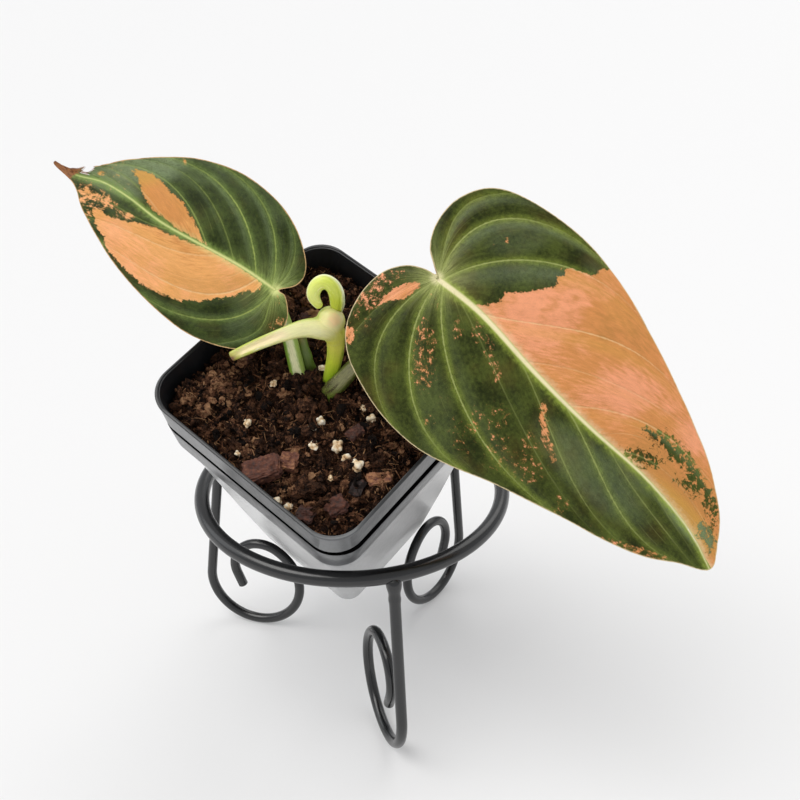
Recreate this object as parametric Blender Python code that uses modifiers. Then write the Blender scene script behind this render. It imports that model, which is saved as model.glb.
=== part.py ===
"""A young philodendron melanochrysum in a square nursery pot that leans in a scroll-legged ring stand.

Metres, +Z up. The stand is on the floor, and the pot with its plant is modelled upright in its own
frame, whose origin is the middle of the rim, and is then leaned forwards into the ring.
"""
import math
import random

import bmesh
import bpy
from mathutils import Matrix, Vector, noise

MM = 0.001
GAP = 0.35
COLLECTION = "philodendron_melanochrysum"

# Stand, in millimetres and degrees
RING_RADIUS = 59.7
RING_WIRE = 2.75
LEG_WIRE = 2.1
FOOT_FLAT = 0.25
LEG_OFFSET = 1.6
WELD_DROP = 2.7
WELD_RADIUS = 3.1
LEG_SPLAY = 8.3
LEG_STRAIGHT = 58.5
LEG_BENDS = ((20.1, 89.0), (21.7, 155.7), (13.2, 143.8))
LEG_TAIL = 7.0
LEGS = {"stand_leg_front": (-74.1, 3.2), "stand_leg_right": (46.8, 6.9), "stand_leg_left": (159.9, 4.3)}

# Pot, as half sides, corner radii and depths below the rim
POT_TILT = 32.5
POT_TURN = 49.7
POT_CENTRE = (-6.1, -34.7, 150.9)
POT_DEPTH = 130.0
POT_OUTSIDE = (
    (43.9, 10.0, 0.0), (44.4, 10.4, -0.6), (43.9, 10.2, -16.2), (42.8, 9.6, -16.6), (42.8, 9.6, -17.8),
    (43.3, 9.9, -18.2), (42.2, 9.4, -34.6), (41.2, 9.0, -35.4), (27.4, 5.9, -128.6), (26.4, 5.4, -130.0),
)
POT_FOOT = ((24.4, 4.6, -130.0), (24.0, 4.4, -128.4))
POT_INSIDE = ((25.7, 5.0, -126.8), (40.0, 8.2, -36.4), (41.2, 8.6, -33.4), (43.2, 9.4, 0.0))
DRAIN_HOLES = ((0.0, 0.0), (14.0, 14.0), (-14.0, 14.0), (-14.0, -14.0), (14.0, -14.0))
DRAIN_RADIUS = 3.5
CORNER_STEPS = 6

# Potting mix
SOIL_LEVEL = -9.5
SOIL_CELLS = 26
SOIL_ROUGHNESS = 1.5
SOIL_MOUNDS = ((-37.0, 0.5, 7.5, 3.6), (-2.0, 30.0, 16.0, 2.2), (-8.0, -18.0, 6.0, 1.6), (14.0, -32.0, 8.0, 1.0))
PERLITE = (
    (-19.0, 2.7, 1.5), (-27.1, -12.1, 1.6), (-29.5, -23.7, 1.3), (-2.2, -11.7, 1.9), (-4.8, -15.4, 1.6),
    (-4.1, -21.1, 1.5), (4.0, -20.6, 2.0), (6.9, -25.4, 1.9), (10.8, -29.0, 1.9), (12.4, -6.2, 1.4),
    (15.4, -10.0, 1.6), (2.1, -33.4, 1.2), (-15.4, -40.2, 1.5), (-11.5, -42.6, 1.2), (-2.0, 8.6, 1.4),
    (-14.0, 42.0, 1.4),
)
BARK = (
    (-21.5, -30.2, 8.6, 5.2, 3.6, 20), (-12.0, -27.2, 4.6, 3.8, 3.0, 75), (18.2, -33.6, 6.4, 3.2, 1.6, 10),
    (11.2, -36.6, 5.2, 3.4, 1.8, 60), (4.4, -43.2, 6.2, 5.0, 4.0, 35), (-5.6, -46.0, 5.4, 4.4, 3.4, -20),
    (9.8, -16.4, 4.4, 2.8, 1.8, 40), (-31.0, 14.0, 5.6, 3.6, 2.4, -30), (-9.0, 30.0, 5.0, 3.6, 2.2, 50),
    (14.0, -1.6, 7.0, 1.4, 1.1, 6),
)

# Stem, petioles and shoot: route points in the pot's frame with the radius at each
STEM = ((-12.0, 9.6, -22.0, 3.2), (-6.6, 6.6, -18.4, 3.6), (-1.4, 3.4, -14.4, 4.2), (2.2, 1.8, -11.2, 4.4),
        (4.8, 1.5, -9.0, 3.8))
LEFT_PETIOLE = ((-8.8, 4.0, -16.8, 2.9), (-9.8, 4.0, -9.8, 2.9), (-10.8, 7.2, -4.6, 2.8),
                (-12.6, 13.0, 5.0, 2.6), (-14.3, 17.6, 11.0, 2.2), (-15.8, 21.4, 16.2, 1.6),
                (-16.4, 23.2, 19.2, 1.3))
OLD_CATAPHYLL = ((-4.4, 8.6, -15.6, 1.9), (-5.4, 8.6, -9.0, 2.2), (-6.7, 11.0, -3.4, 2.1),
                 (-8.2, 14.8, 1.8, 1.8), (-9.6, 18.2, 5.6, 1.4), (-10.6, 21.0, 9.4, 0.7))
RIGHT_PETIOLE = ((1.2, 1.2, -10.4, 3.0), (5.0, 3.0, -5.8, 3.0), (8.2, 4.6, -1.7, 2.9), (14.9, 7.8, 6.4, 2.7),
                 (25.0, 12.6, 18.6, 2.3), (32.6, 15.8, 28.4, 2.0), (36.0, 16.5, 33.2, 1.7),
                 (37.0, 15.7, 36.2, 1.5))
CATAPHYLL = ((-1.4, 3.4, -12.4, 2.5), (0.4, 5.8, -5.0, 2.6), (2.9, 8.4, 2.8, 2.8), (3.8, 10.2, 12.6, 3.2),
             (3.3, 11.1, 20.0, 3.6), (1.5, 10.9, 23.4, 3.7), (-2.2, 9.0, 24.2, 3.2), (-7.4, 6.0, 24.0, 2.4),
             (-14.8, 1.8, 24.2, 1.9), (-22.6, -2.0, 23.9, 1.5), (-28.6, -5.2, 23.2, 1.2))
NEW_LEAF = ((3.6, 9.8, 13.4, 1.3), (4.2, 11.0, 19.0, 1.6), (5.2, 12.8, 25.6, 2.0), (5.1, 14.4, 31.0, 2.1),
            (3.5, 15.6, 34.4, 2.1), (0.9, 16.0, 35.6, 2.1), (-1.6, 15.4, 34.4, 2.1), (-3.1, 14.3, 31.2, 1.9),
            (-2.9, 13.4, 28.2, 1.4), (-1.8, 12.9, 26.6, 0.8))

# Leaves: (along, across) points of the margin from the sinus round the tip, millimetres from the junction
LEAF_THICKNESS = 0.9
LEAF_SPOKES = 60
LEAF_RINGS = 7
RIGHT_MARGIN = (
    (-1.6, 0.6), (-5.0, 2.6), (-9.4, 5.3), (-13.4, 11.4), (-15.1, 20.0), (-13.4, 27.8), (-9.5, 33.6),
    (-2.5, 37.9), (8.9, 41.2), (21.5, 43.0), (33.0, 42.7), (46.4, 40.7), (60.3, 37.2), (75.0, 33.0),
    (88.5, 28.6), (98.5, 25.0), (108.0, 20.4), (116.9, 14.7), (123.1, 8.4), (127.8, 1.1), (118.4, -5.3),
    (109.0, -12.0), (96.7, -17.6), (83.3, -22.1), (70.8, -26.7), (58.0, -31.6), (45.9, -37.2),
    (35.3, -41.0), (25.0, -42.3), (14.8, -41.9), (3.1, -39.3), (-3.6, -36.5), (-8.9, -32.1),
    (-12.4, -25.9), (-14.3, -18.1), (-13.8, -10.3), (-10.3, -4.3), (-5.4, -0.9),
)
LEFT_MARGIN = (
    (-1.4, -0.6), (-4.1, 0.1), (-7.3, 3.8), (-8.7, 7.6), (-8.2, 13.6), (-4.1, 19.9), (2.2, 24.1),
    (11.8, 26.8), (22.5, 27.2), (38.4, 24.1), (52.7, 19.1), (63.1, 13.8), (71.2, 9.0), (78.6, 3.2),
    (89.6, 0.0), (76.4, -4.6), (64.4, -14.0), (47.4, -24.1), (31.4, -28.1), (16.7, -26.8),
    (5.5, -22.1), (-2.8, -15.1), (-6.1, -9.4), (-5.4, -4.6),
)
# Blade pose: junction, lean of the blade, heading, nose-down pitch, then arch length, cross radius, valley
RIGHT_BLADE = dict(at=(37.0, 14.7, 37.7), lean=29.1, heading=-46.9, pitch=-4.0, arch=400.0, cross=150.0,
                   valley=1.5, valley_width=8.0)
LEFT_BLADE = dict(at=(-16.6, 22.3, 21.3), lean=29.1, heading=149.7, pitch=-2.0, arch=260.0, cross=110.0,
                  valley=1.2, valley_width=6.0)
LOBE_ARCH = 60.0
VALLEY_START = 30.0


def clear_scene():
    for item in list(bpy.data.objects):
        bpy.data.objects.remove(item, do_unlink=True)


def make_collections():
    parts = bpy.data.collections.new(COLLECTION)
    cutters = bpy.data.collections.new("cutters")
    for group in (parts, cutters):
        bpy.context.scene.collection.children.link(group)
    return parts, cutters


def material(name, colour, roughness, metallic=0.0):
    made = bpy.data.materials.new(name)
    made.use_nodes = True
    shader = made.node_tree.nodes["Principled BSDF"]
    shader.inputs["Base Color"].default_value = (*colour, 1.0)
    shader.inputs["Roughness"].default_value = roughness
    shader.inputs["Metallic"].default_value = metallic
    made.diffuse_color = (*colour, 1.0)
    return made


def empty(name, parent=None):
    holder = bpy.data.objects.new(name, None)
    parts.objects.link(holder)
    holder.parent = parent
    return holder


def add_object(name, mesh, parent, finish, group=None):
    made = bpy.data.objects.new(name, mesh)
    (group or parts).objects.link(made)
    made.parent = parent
    if finish:
        mesh.materials.append(finish)
    return made


def mesh_from(name, bm):
    """Turns a bmesh into a mesh with its faces pointing out and its round parts shaded smooth."""
    bmesh.ops.recalc_face_normals(bm, faces=bm.faces)
    mesh = bpy.data.meshes.new(name)
    bm.to_mesh(mesh)
    bm.free()
    mesh.shade_smooth()
    mesh.set_sharp_from_angle(angle=math.radians(40))
    return mesh


def smooth_route(points, steps):
    """Points on a Catmull-Rom curve through the given points; works on any number of coordinates."""
    path = []
    last = len(points) - 1
    for i in range(last):
        before = points[max(i - 1, 0)]
        after = points[min(i + 2, last)]
        for step in range(steps):
            path.append(catmull(before, points[i], points[i + 1], after, step / steps))
    path.append(tuple(points[last]))
    return path


def smooth_loop(points, steps):
    """Points on a closed Catmull-Rom curve through the given points."""
    count = len(points)
    return [
        catmull(points[i - 1], points[i], points[(i + 1) % count], points[(i + 2) % count], step / steps)
        for i in range(count)
        for step in range(steps)
    ]


def catmull(a, b, c, d, t):
    return tuple(
        0.5 * (2 * q + (r - p) * t + (2 * p - 5 * q + 4 * r - s) * t * t + (3 * q - p - 3 * r + s) * t ** 3)
        for p, q, r, s in zip(a, b, c, d)
    )


def wire(name, path, radii, parent, finish, resolution=2, group=None):
    """A round wire or stalk along a path in millimetres, made as a bevelled curve and kept as a mesh."""
    curve = bpy.data.curves.new(name, "CURVE")
    curve.dimensions = "3D"
    curve.bevel_depth = MM
    curve.bevel_resolution = resolution
    curve.use_fill_caps = True
    spline = curve.splines.new("POLY")
    spline.points.add(len(path) - 1)
    for point, place, radius in zip(spline.points, path, radii):
        point.co = (*(c * MM for c in place), 1.0)
        point.radius = radius
    drawn = bpy.data.objects.new(name + "_curve", curve)
    cutters.objects.link(drawn)
    mesh = bpy.data.meshes.new_from_object(drawn.evaluated_get(bpy.context.evaluated_depsgraph_get()))
    bpy.data.objects.remove(drawn, do_unlink=True)
    bm = bmesh.new()
    bm.from_mesh(mesh)
    bmesh.ops.remove_doubles(bm, verts=bm.verts, dist=0.00001)
    bpy.data.meshes.remove(mesh)
    return add_object(name, mesh_from(name, bm), parent, finish, group)


def stalk(name, route, parent, finish, steps=4, grow=0.0, group=None):
    """A stalk through route points that carry their own radius; grow makes it thicker, for a socket."""
    path = smooth_route(route, steps)
    places = [point[:3] for point in path]
    if grow:
        places[0] = tuple(Vector(places[0]) - (Vector(places[1]) - Vector(places[0])).normalized() * grow)
        places[-1] = tuple(Vector(places[-1]) - (Vector(places[-2]) - Vector(places[-1])).normalized() * grow)
    return wire(name, places, [point[3] + grow for point in path], parent, finish, 2, group)


def boolean(target, tool, operation):
    """Keeps a Boolean live on the target and hides its tool."""
    cut = target.modifiers.new(operation.lower() + "_" + tool.name, "BOOLEAN")
    cut.operation = operation
    cut.object = tool
    tool.hide_render = True
    tool.display_type = "WIRE"


def leg_profile():
    """The centreline of a scroll leg, (outwards, up), from the weld to the free end."""
    out, up, heading = RING_RADIUS + LEG_OFFSET, 0.0, math.radians(LEG_SPLAY)
    points = [(out, up)]

    def walk(length, turn, steps):
        nonlocal out, up, heading
        for _ in range(steps):
            middle = heading - turn / steps / 2
            out += math.sin(middle) * length / steps
            up -= math.cos(middle) * length / steps
            heading -= turn / steps
            points.append((out, up))

    walk(LEG_STRAIGHT, 0.0, 3)
    for radius, degrees in LEG_BENDS:
        turn = math.radians(degrees)
        walk(radius * turn, turn, round(degrees / 9))
    walk(LEG_TAIL, 0.0, 1)
    return points


def build_stand(root):
    """The ring and its three scroll legs; a leg's weld bead is cut to the ring's round underside."""
    profile = leg_profile()
    lowest = min(up for out, up in profile)
    lift = LEG_WIRE - FOOT_FLAT - lowest
    ring_height = lift + WELD_DROP
    powder = material("black_powder_coat", (0.012, 0.012, 0.013), 0.42, 0.0)

    for name, minor, group in (("stand_ring", RING_WIRE, parts), ("ring_cutter", RING_WIRE + GAP, cutters)):
        bpy.ops.mesh.primitive_torus_add(
            major_segments=60, minor_segments=12, major_radius=RING_RADIUS * MM, minor_radius=minor * MM,
            location=(0.0, 0.0, ring_height * MM))
        ring = bpy.context.object
        ring.name = ring.data.name = name
        for old in list(ring.users_collection):
            old.objects.unlink(ring)
        group.objects.link(ring)
        ring.data.shade_smooth()
        ring.parent = root
    ring_cutter = ring
    bpy.data.objects["stand_ring"].data.materials.append(powder)

    bpy.ops.mesh.primitive_cube_add(size=0.4, location=(0.0, 0.0, -0.2))
    floor_cutter = bpy.context.object
    floor_cutter.name = "floor_cutter"
    for old in list(floor_cutter.users_collection):
        old.objects.unlink(floor_cutter)
    cutters.objects.link(floor_cutter)
    floor_cutter.parent = root

    for name, (azimuth, twist) in LEGS.items():
        radial = Vector((math.cos(math.radians(azimuth)), math.sin(math.radians(azimuth)), 0.0))
        plane = Vector((math.cos(math.radians(azimuth + twist)), math.sin(math.radians(azimuth + twist)), 0.0))
        start = profile[0][0]
        path = [radial * start + plane * (out - start) + Vector((0.0, 0.0, up + lift)) for out, up in profile]
        leg = wire(name, path, [LEG_WIRE] * len(path), root, powder)
        down = (path[1] - path[0]).normalized()
        bead_path = [path[0] - down * 1.6, path[0] + down * 1.4, path[0] + down * 3.6, path[0] + down * 4.6]
        bead_radii = [WELD_RADIUS, WELD_RADIUS, WELD_RADIUS * 0.88, LEG_WIRE]
        bead = wire(name + "_bead", bead_path, bead_radii, root, None, 2, cutters)
        boolean(leg, bead, "UNION")
        boolean(leg, ring_cutter, "DIFFERENCE")
        boolean(leg, floor_cutter, "DIFFERENCE")


def rounded_square(half, radius, z):
    """One loop of a square with round corners, in millimetres."""
    points = []
    for corner in range(4):
        start = math.pi / 2 * corner
        sx, sy = ((1, 1), (-1, 1), (-1, -1), (1, -1))[corner]
        for step in range(CORNER_STEPS + 1):
            angle = start + math.pi / 2 * step / CORNER_STEPS
            x = sx * (half - radius) + radius * math.cos(angle)
            y = sy * (half - radius) + radius * math.sin(angle)
            points.append(Vector((x, y, z)) * MM)
    return points


def loft(sections):
    """A closed solid through rounded-square sections, capped at both ends."""
    bm = bmesh.new()
    loops = [[bm.verts.new(point) for point in rounded_square(*section)] for section in sections]
    for lower, upper in zip(loops, loops[1:]):
        for i in range(len(lower)):
            j = (i + 1) % len(lower)
            bm.faces.new((lower[i], lower[j], upper[j], upper[i]))
    for end in (loops[0], loops[-1]):
        bm.faces.new(end)
    return bm


def build_pot(leaning):
    """The pot is one thin-walled moulding: a lip band, a groove, a second band and a tapered wall."""
    plastic = material("glossy_black_plastic", (0.02, 0.021, 0.023), 0.22)
    chain = list(reversed(POT_FOOT)) + list(reversed(POT_OUTSIDE)) + list(reversed(POT_INSIDE))
    pot = add_object("nursery_pot", mesh_from("nursery_pot", loft(chain)), leaning, plastic)
    pot.rotation_euler.z = math.radians(POT_TURN)
    for number, (x, y) in enumerate(DRAIN_HOLES):
        bm = bmesh.new()
        bmesh.ops.create_cone(bm, cap_ends=True, segments=12, radius1=DRAIN_RADIUS * MM,
                              radius2=DRAIN_RADIUS * MM, depth=8 * MM)
        hole = add_object(f"drain_cutter_{number}", mesh_from("drain_cutter", bm), leaning, None, cutters)
        turn = Matrix.Rotation(math.radians(POT_TURN), 3, "Z")
        hole.location = turn @ Vector((x, y, -POT_DEPTH + 2.0)) * MM
        boolean(pot, hole, "DIFFERENCE")


def square_reach(angle, half, radius):
    """How far a rounded square reaches from its middle in one direction."""
    c, s = abs(math.cos(angle)), abs(math.sin(angle))
    inner = half - radius
    reach = half / max(c, s)
    if min(c, s) * reach > inner:
        along = inner * (c + s)
        reach = along + math.sqrt(max(along * along - 2 * inner * inner + radius * radius, 0.0))
    return reach


def soil_height(x, y):
    """Height of the rough top of the mix at a point of the pot's frame, in millimetres."""
    rough = noise.fractal(Vector((x, y, 3.0)) * 0.09, 1.0, 2.0, 3) * SOIL_ROUGHNESS
    mounds = sum(h * math.exp(-((x - mx) ** 2 + (y - my) ** 2) / (2 * w * w)) for mx, my, w, h in SOIL_MOUNDS)
    return SOIL_LEVEL + rough + mounds


def build_soil(leaning):
    """The mix fills the pot to just under the rim; grains, chips and stalks sit in sockets in it."""
    half, radius = POT_INSIDE[3][0] - 0.9, POT_INSIDE[3][1] - 0.5
    bm = bmesh.new()
    bmesh.ops.create_grid(bm, x_segments=SOIL_CELLS, y_segments=SOIL_CELLS, size=1.0)
    turn = Matrix.Rotation(math.radians(POT_TURN), 3, "Z")
    for vert in bm.verts:
        angle = math.atan2(vert.co.y, vert.co.x)
        edge = 1.0 / max(abs(math.cos(angle)), abs(math.sin(angle)))
        share = math.hypot(vert.co.x, vert.co.y) / edge
        flat = Vector((math.cos(angle), math.sin(angle), 0.0)) * share * square_reach(angle, half, radius)
        placed = turn @ flat
        placed.z = soil_height(placed.x, placed.y)
        vert.co = placed * MM
    border = [edge for edge in bm.edges if edge.is_boundary]
    for inner_half, depth in ((40.8, -33.0), (39.5, -36.8), (25.2, -126.4)):
        made = bmesh.ops.extrude_edge_only(bm, edges=border)["geom"]
        ring = [item for item in made if isinstance(item, bmesh.types.BMVert)]
        border = [item for item in made if isinstance(item, bmesh.types.BMEdge)]
        for vert in ring:
            angle = math.atan2(vert.co.y, vert.co.x) - math.radians(POT_TURN)
            reach = square_reach(angle, inner_half, inner_half * 0.2) * MM
            vert.co.x, vert.co.y = (math.cos(angle + math.radians(POT_TURN)) * reach,
                                    math.sin(angle + math.radians(POT_TURN)) * reach)
            vert.co.z = depth * MM
    bmesh.ops.edgeloop_fill(bm, edges=[edge for edge in bm.edges if edge.is_boundary])
    brown = material("potting_mix", (0.06, 0.035, 0.022), 0.9)
    return add_object("potting_mix", mesh_from("potting_mix", bm), leaning, brown)


def grain(bm, place, seed, grow):
    """One rough perlite grain, a jittered icosphere."""
    x, y, size = place
    middle = Vector((x, y, soil_height(x, y) + size * 0.35))
    made = bmesh.ops.create_icosphere(bm, subdivisions=2, radius=1.0)["verts"]
    jitter = random.Random(seed)
    stretch = Vector((jitter.uniform(0.85, 1.2), jitter.uniform(0.85, 1.2), jitter.uniform(0.75, 0.95)))
    for vert in made:
        rough = 1.0 + jitter.uniform(-0.1, 0.1)
        vert.co = (middle + vert.co * stretch * rough * (size + grow * 1.35)) * MM


def chip(bm, place, seed, grow):
    """One bark chip: a cube whose corners are pulled about."""
    x, y, length, width, height, angle = place
    middle = Vector((x, y, soil_height(x, y) + height * 0.18))
    made = bmesh.ops.create_cube(bm, size=1.0)["verts"]
    jitter = random.Random(seed)
    turn = Matrix.Rotation(math.radians(angle), 3, "Z") @ Matrix.Rotation(jitter.uniform(-0.25, 0.25), 3, "X")
    for vert in made:
        pulled = Vector([c * size * jitter.uniform(0.8, 1.0) for c, size in zip(vert.co, (length, width, height))])
        pulled += Vector([math.copysign(grow * 1.3, c) for c in vert.co])
        vert.co = (middle + turn @ pulled) * MM


def build_grains(leaning, name, places, shape, finish, soil):
    """Each grain or chip is its own object in a socket, and one joined cutter makes all the sockets."""
    sockets = bmesh.new()
    for seed, place in enumerate(places):
        bm = bmesh.new()
        shape(bm, place, seed, 0.0)
        shape(sockets, place, seed, GAP)
        add_object(f"{name}_{seed + 1:02d}", mesh_from(name, bm), leaning, finish)
    boolean(soil, add_object(name + "_sockets", mesh_from(name + "_sockets", sockets), leaning, None, cutters),
            "DIFFERENCE")


def blade_height(along, across, blade):
    """How far the blade rises off its plane: it arches along, rolls off across and dips at the midrib."""
    arch = blade["arch"] if along > 0 else LOBE_ARCH
    valley = blade["valley"] * (1 - math.exp(-abs(across) / blade["valley_width"]))
    start = min(max(along / VALLEY_START, 0.0), 1.0)
    return -along ** 2 / (2 * arch) - across ** 2 / (2 * blade["cross"]) + valley * start


def blade_pose(blade):
    return (Matrix.Translation(Vector(blade["at"]) * MM)
            @ Matrix.Rotation(math.radians(blade["lean"]), 4, "X")
            @ Matrix.Rotation(math.radians(blade["heading"]), 4, "Z")
            @ Matrix.Rotation(math.radians(blade["pitch"]), 4, "Y"))


def build_leaf(name, margin, blade, leaning, finish):
    """A leaf blade: an open fan from the junction to the margin, given its thickness by Solidify."""
    outline = smooth_loop(margin, 6)
    bm = bmesh.new()
    centre = bm.verts.new((0.0, 0.0, 0.0))
    previous = None
    for ring in range(1, LEAF_RINGS + 1):
        share = ring / LEAF_RINGS
        loop = []
        for spoke in range(LEAF_SPOKES):
            at = spoke * len(outline) / LEAF_SPOKES
            near, far = outline[int(at)], outline[(int(at) + 1) % len(outline)]
            along, across = (share * (n + (f - n) * (at % 1.0)) for n, f in zip(near, far))
            loop.append(bm.verts.new(Vector((along, across, blade_height(along, across, blade))) * MM))
        for i in range(LEAF_SPOKES):
            j = (i + 1) % LEAF_SPOKES
            if previous:
                bm.faces.new((previous[i], loop[i], loop[j], previous[j]))
            else:
                bm.faces.new((centre, loop[i], loop[j]))
        previous = loop
    leaf = add_object(name, mesh_from(name, bm), leaning, finish)
    if sum(face.normal.z for face in leaf.data.polygons) < 0:
        leaf.data.flip_normals()
    leaf.matrix_local = blade_pose(blade)
    thick = leaf.modifiers.new("thickness", "SOLIDIFY")
    thick.thickness = LEAF_THICKNESS * MM
    thick.offset = -1.0
    return leaf


def build_plant(leaning):
    """Two leaves on their petioles, a new shoot in its cataphyll, and the stem they grow from."""
    green = material("stem_green", (0.22, 0.33, 0.07), 0.45)
    lime = material("shoot_lime", (0.55, 0.62, 0.16), 0.4)
    velvet = material("leaf_velvet", (0.05, 0.09, 0.03), 0.6)
    peach = material("leaf_peach", (0.12, 0.11, 0.05), 0.6)
    stem = stalk("stem", STEM, leaning, green)
    routes = {
        "left_petiole": (LEFT_PETIOLE, green), "right_petiole": (RIGHT_PETIOLE, green),
        "old_cataphyll": (OLD_CATAPHYLL, green), "cataphyll": (CATAPHYLL, lime), "new_leaf": (NEW_LEAF, lime),
    }
    sockets = {"stem": stalk("stem_socket", STEM, leaning, None, 4, GAP, cutters)}
    stalks = {}
    for name, (route, finish) in routes.items():
        stalks[name] = stalk(name, route, leaning, finish)
        sockets[name] = stalk(name + "_socket", route, leaning, None, 4, GAP, cutters)
    for name in ("left_petiole", "right_petiole", "old_cataphyll", "cataphyll"):
        boolean(stem, sockets[name], "DIFFERENCE")
    boolean(stalks["cataphyll"], sockets["new_leaf"], "DIFFERENCE")
    boolean(stalks["cataphyll"], sockets["right_petiole"], "DIFFERENCE")
    boolean(stalks["old_cataphyll"], sockets["left_petiole"], "DIFFERENCE")
    build_leaf("right_leaf", RIGHT_MARGIN, RIGHT_BLADE, leaning, peach)
    build_leaf("left_leaf", LEFT_MARGIN, LEFT_BLADE, leaning, velvet)
    return sockets


def build_potting(leaning, sockets):
    soil = build_soil(leaning)
    for name in ("stem", "left_petiole", "right_petiole", "old_cataphyll", "cataphyll"):
        boolean(soil, sockets[name], "DIFFERENCE")
    bark = material("bark", (0.16, 0.07, 0.04), 0.85)
    perlite = material("perlite", (0.75, 0.68, 0.55), 0.8)
    build_grains(leaning, "bark_chip", BARK, chip, bark, soil)
    build_grains(leaning, "perlite", PERLITE, grain, perlite, soil)


def settle(root):
    """Moves the whole model so that its box stands on the origin at the middle of its floor side."""
    bpy.context.view_layer.update()
    graph = bpy.context.evaluated_depsgraph_get()
    corners = []
    for item in parts.objects:
        if item.type == "MESH":
            seen = item.evaluated_get(graph)
            corners += [seen.matrix_world @ vert.co for vert in seen.data.vertices]
    middle = [(min(c[i] for c in corners) + max(c[i] for c in corners)) / 2 for i in (0, 1)]
    root.location = (-middle[0], -middle[1], -min(c.z for c in corners))


clear_scene()
parts, cutters = make_collections()
root = empty("plant_stand_and_pot")
leaning = empty("pot_frame", root)
leaning.location = Vector(POT_CENTRE) * MM
leaning.rotation_euler.x = math.radians(POT_TILT)
build_stand(root)
build_pot(leaning)
build_potting(leaning, build_plant(leaning))
settle(root)
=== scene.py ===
"""A young variegated philodendron melanochrysum in a square nursery pot on a scroll-legged ring stand."""
import math

import bmesh
import bpy
import numpy as np
from mathutils import Matrix, Vector, kdtree, noise


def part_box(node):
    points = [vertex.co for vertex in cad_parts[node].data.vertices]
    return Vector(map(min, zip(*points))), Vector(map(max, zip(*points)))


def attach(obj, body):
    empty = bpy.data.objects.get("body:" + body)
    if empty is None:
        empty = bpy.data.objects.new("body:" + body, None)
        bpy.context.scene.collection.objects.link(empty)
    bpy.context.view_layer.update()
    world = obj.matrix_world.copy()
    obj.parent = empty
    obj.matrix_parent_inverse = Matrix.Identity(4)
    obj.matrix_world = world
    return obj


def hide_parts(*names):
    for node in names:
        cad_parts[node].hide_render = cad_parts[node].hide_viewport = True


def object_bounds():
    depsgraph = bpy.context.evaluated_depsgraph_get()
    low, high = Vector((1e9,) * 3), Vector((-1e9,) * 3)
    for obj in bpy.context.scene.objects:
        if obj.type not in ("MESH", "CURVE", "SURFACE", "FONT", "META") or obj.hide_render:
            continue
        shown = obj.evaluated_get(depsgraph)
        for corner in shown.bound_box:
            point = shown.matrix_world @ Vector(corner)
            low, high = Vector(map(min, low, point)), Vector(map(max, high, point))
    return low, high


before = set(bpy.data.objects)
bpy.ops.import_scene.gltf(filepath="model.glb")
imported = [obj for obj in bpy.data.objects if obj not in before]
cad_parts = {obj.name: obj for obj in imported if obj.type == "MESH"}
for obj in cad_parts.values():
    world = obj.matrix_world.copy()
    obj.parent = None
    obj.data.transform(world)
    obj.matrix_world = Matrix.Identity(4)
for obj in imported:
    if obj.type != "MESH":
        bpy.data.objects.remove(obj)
cad_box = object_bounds()

# The table: a plain pale top under and behind the stand, in a white room with three broad soft lamps, the
# strongest over the front left. The camera looks down 28 degrees from in front, as for the photograph.
MM = 0.001
LAMPS = (("key_lamp", (-0.42, -0.2, 0.9), 50.0, 1.75, (1.0, 0.985, 0.96)),
         ("back_lamp", (0.35, 0.6, 0.9), 45.0, 0.55, (1.0, 0.99, 0.97)),
         ("side_lamp", (-0.9, 0.2, 0.5), 40.0, 0.35, (0.95, 0.98, 1.0)))
SKY = ((0.0, (0.76, 0.78, 0.81, 1.0)), (0.8, (0.62, 0.62, 0.62, 1.0)))
ring_low, ring_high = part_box("stand_ring")
ring_centre = (ring_low + ring_high) / 2


def put(name, data, place):
    """An object for a camera, a lamp or a mesh, linked to the scene at its place."""
    made = bpy.data.objects.new(name, data)
    bpy.context.scene.collection.objects.link(made)
    made.location = place
    return made


camera_data = bpy.data.cameras.new("camera")
camera_data.lens, camera_data.sensor_width, camera_data.clip_start = 45.0, 36.0, 0.01
camera = put("camera", camera_data, (ring_centre.x + 0.01895, ring_centre.y - 0.33715, 0.3066))
camera.rotation_euler = (math.radians(61.6), 0.0, 0.0)
bpy.context.scene.camera = camera
bpy.context.scene.view_settings.view_transform = "Standard"

bpy.ops.mesh.primitive_plane_add(size=12.0, location=(0.0, 0.0, 0.0))
table = bpy.context.object
table.name = "table"
white = bpy.data.materials.new("pale_table")
white.use_nodes = True
for socket, value in (("Base Color", (0.62, 0.62, 0.625, 1.0)), ("Emission Color", (1.0, 1.0, 1.0, 1.0)),
                      ("Emission Strength", 0.215), ("Roughness", 0.55), ("Specular IOR Level", 0.3)):
    white.node_tree.nodes["Principled BSDF"].inputs[socket].default_value = value
table.data.materials.append(white)

world = bpy.data.worlds.new("room")
bpy.context.scene.world = world
world.use_nodes = True
sky = world.node_tree.nodes
height = sky.new("ShaderNodeSeparateXYZ")
fade = sky.new("ShaderNodeValToRGB")
world.node_tree.links.new(sky.new("ShaderNodeTexCoord").outputs["Generated"], height.inputs["Vector"])
world.node_tree.links.new(height.outputs["Z"], fade.inputs["Fac"])
world.node_tree.links.new(fade.outputs["Color"], sky["Background"].inputs["Color"])
for stop, (position, colour) in zip(fade.color_ramp.elements, SKY):
    stop.position, stop.color = position, colour
sky["Background"].inputs["Strength"].default_value = 0.8

for name, towards, spread, strength, colour in LAMPS:
    lamp_data = bpy.data.lights.new(name, "SUN")
    lamp_data.angle, lamp_data.energy, lamp_data.color = math.radians(spread), strength, colour
    put(name, lamp_data, towards).rotation_euler = (-Vector(towards)).to_track_quat("-Z", "Y").to_euler()

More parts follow.
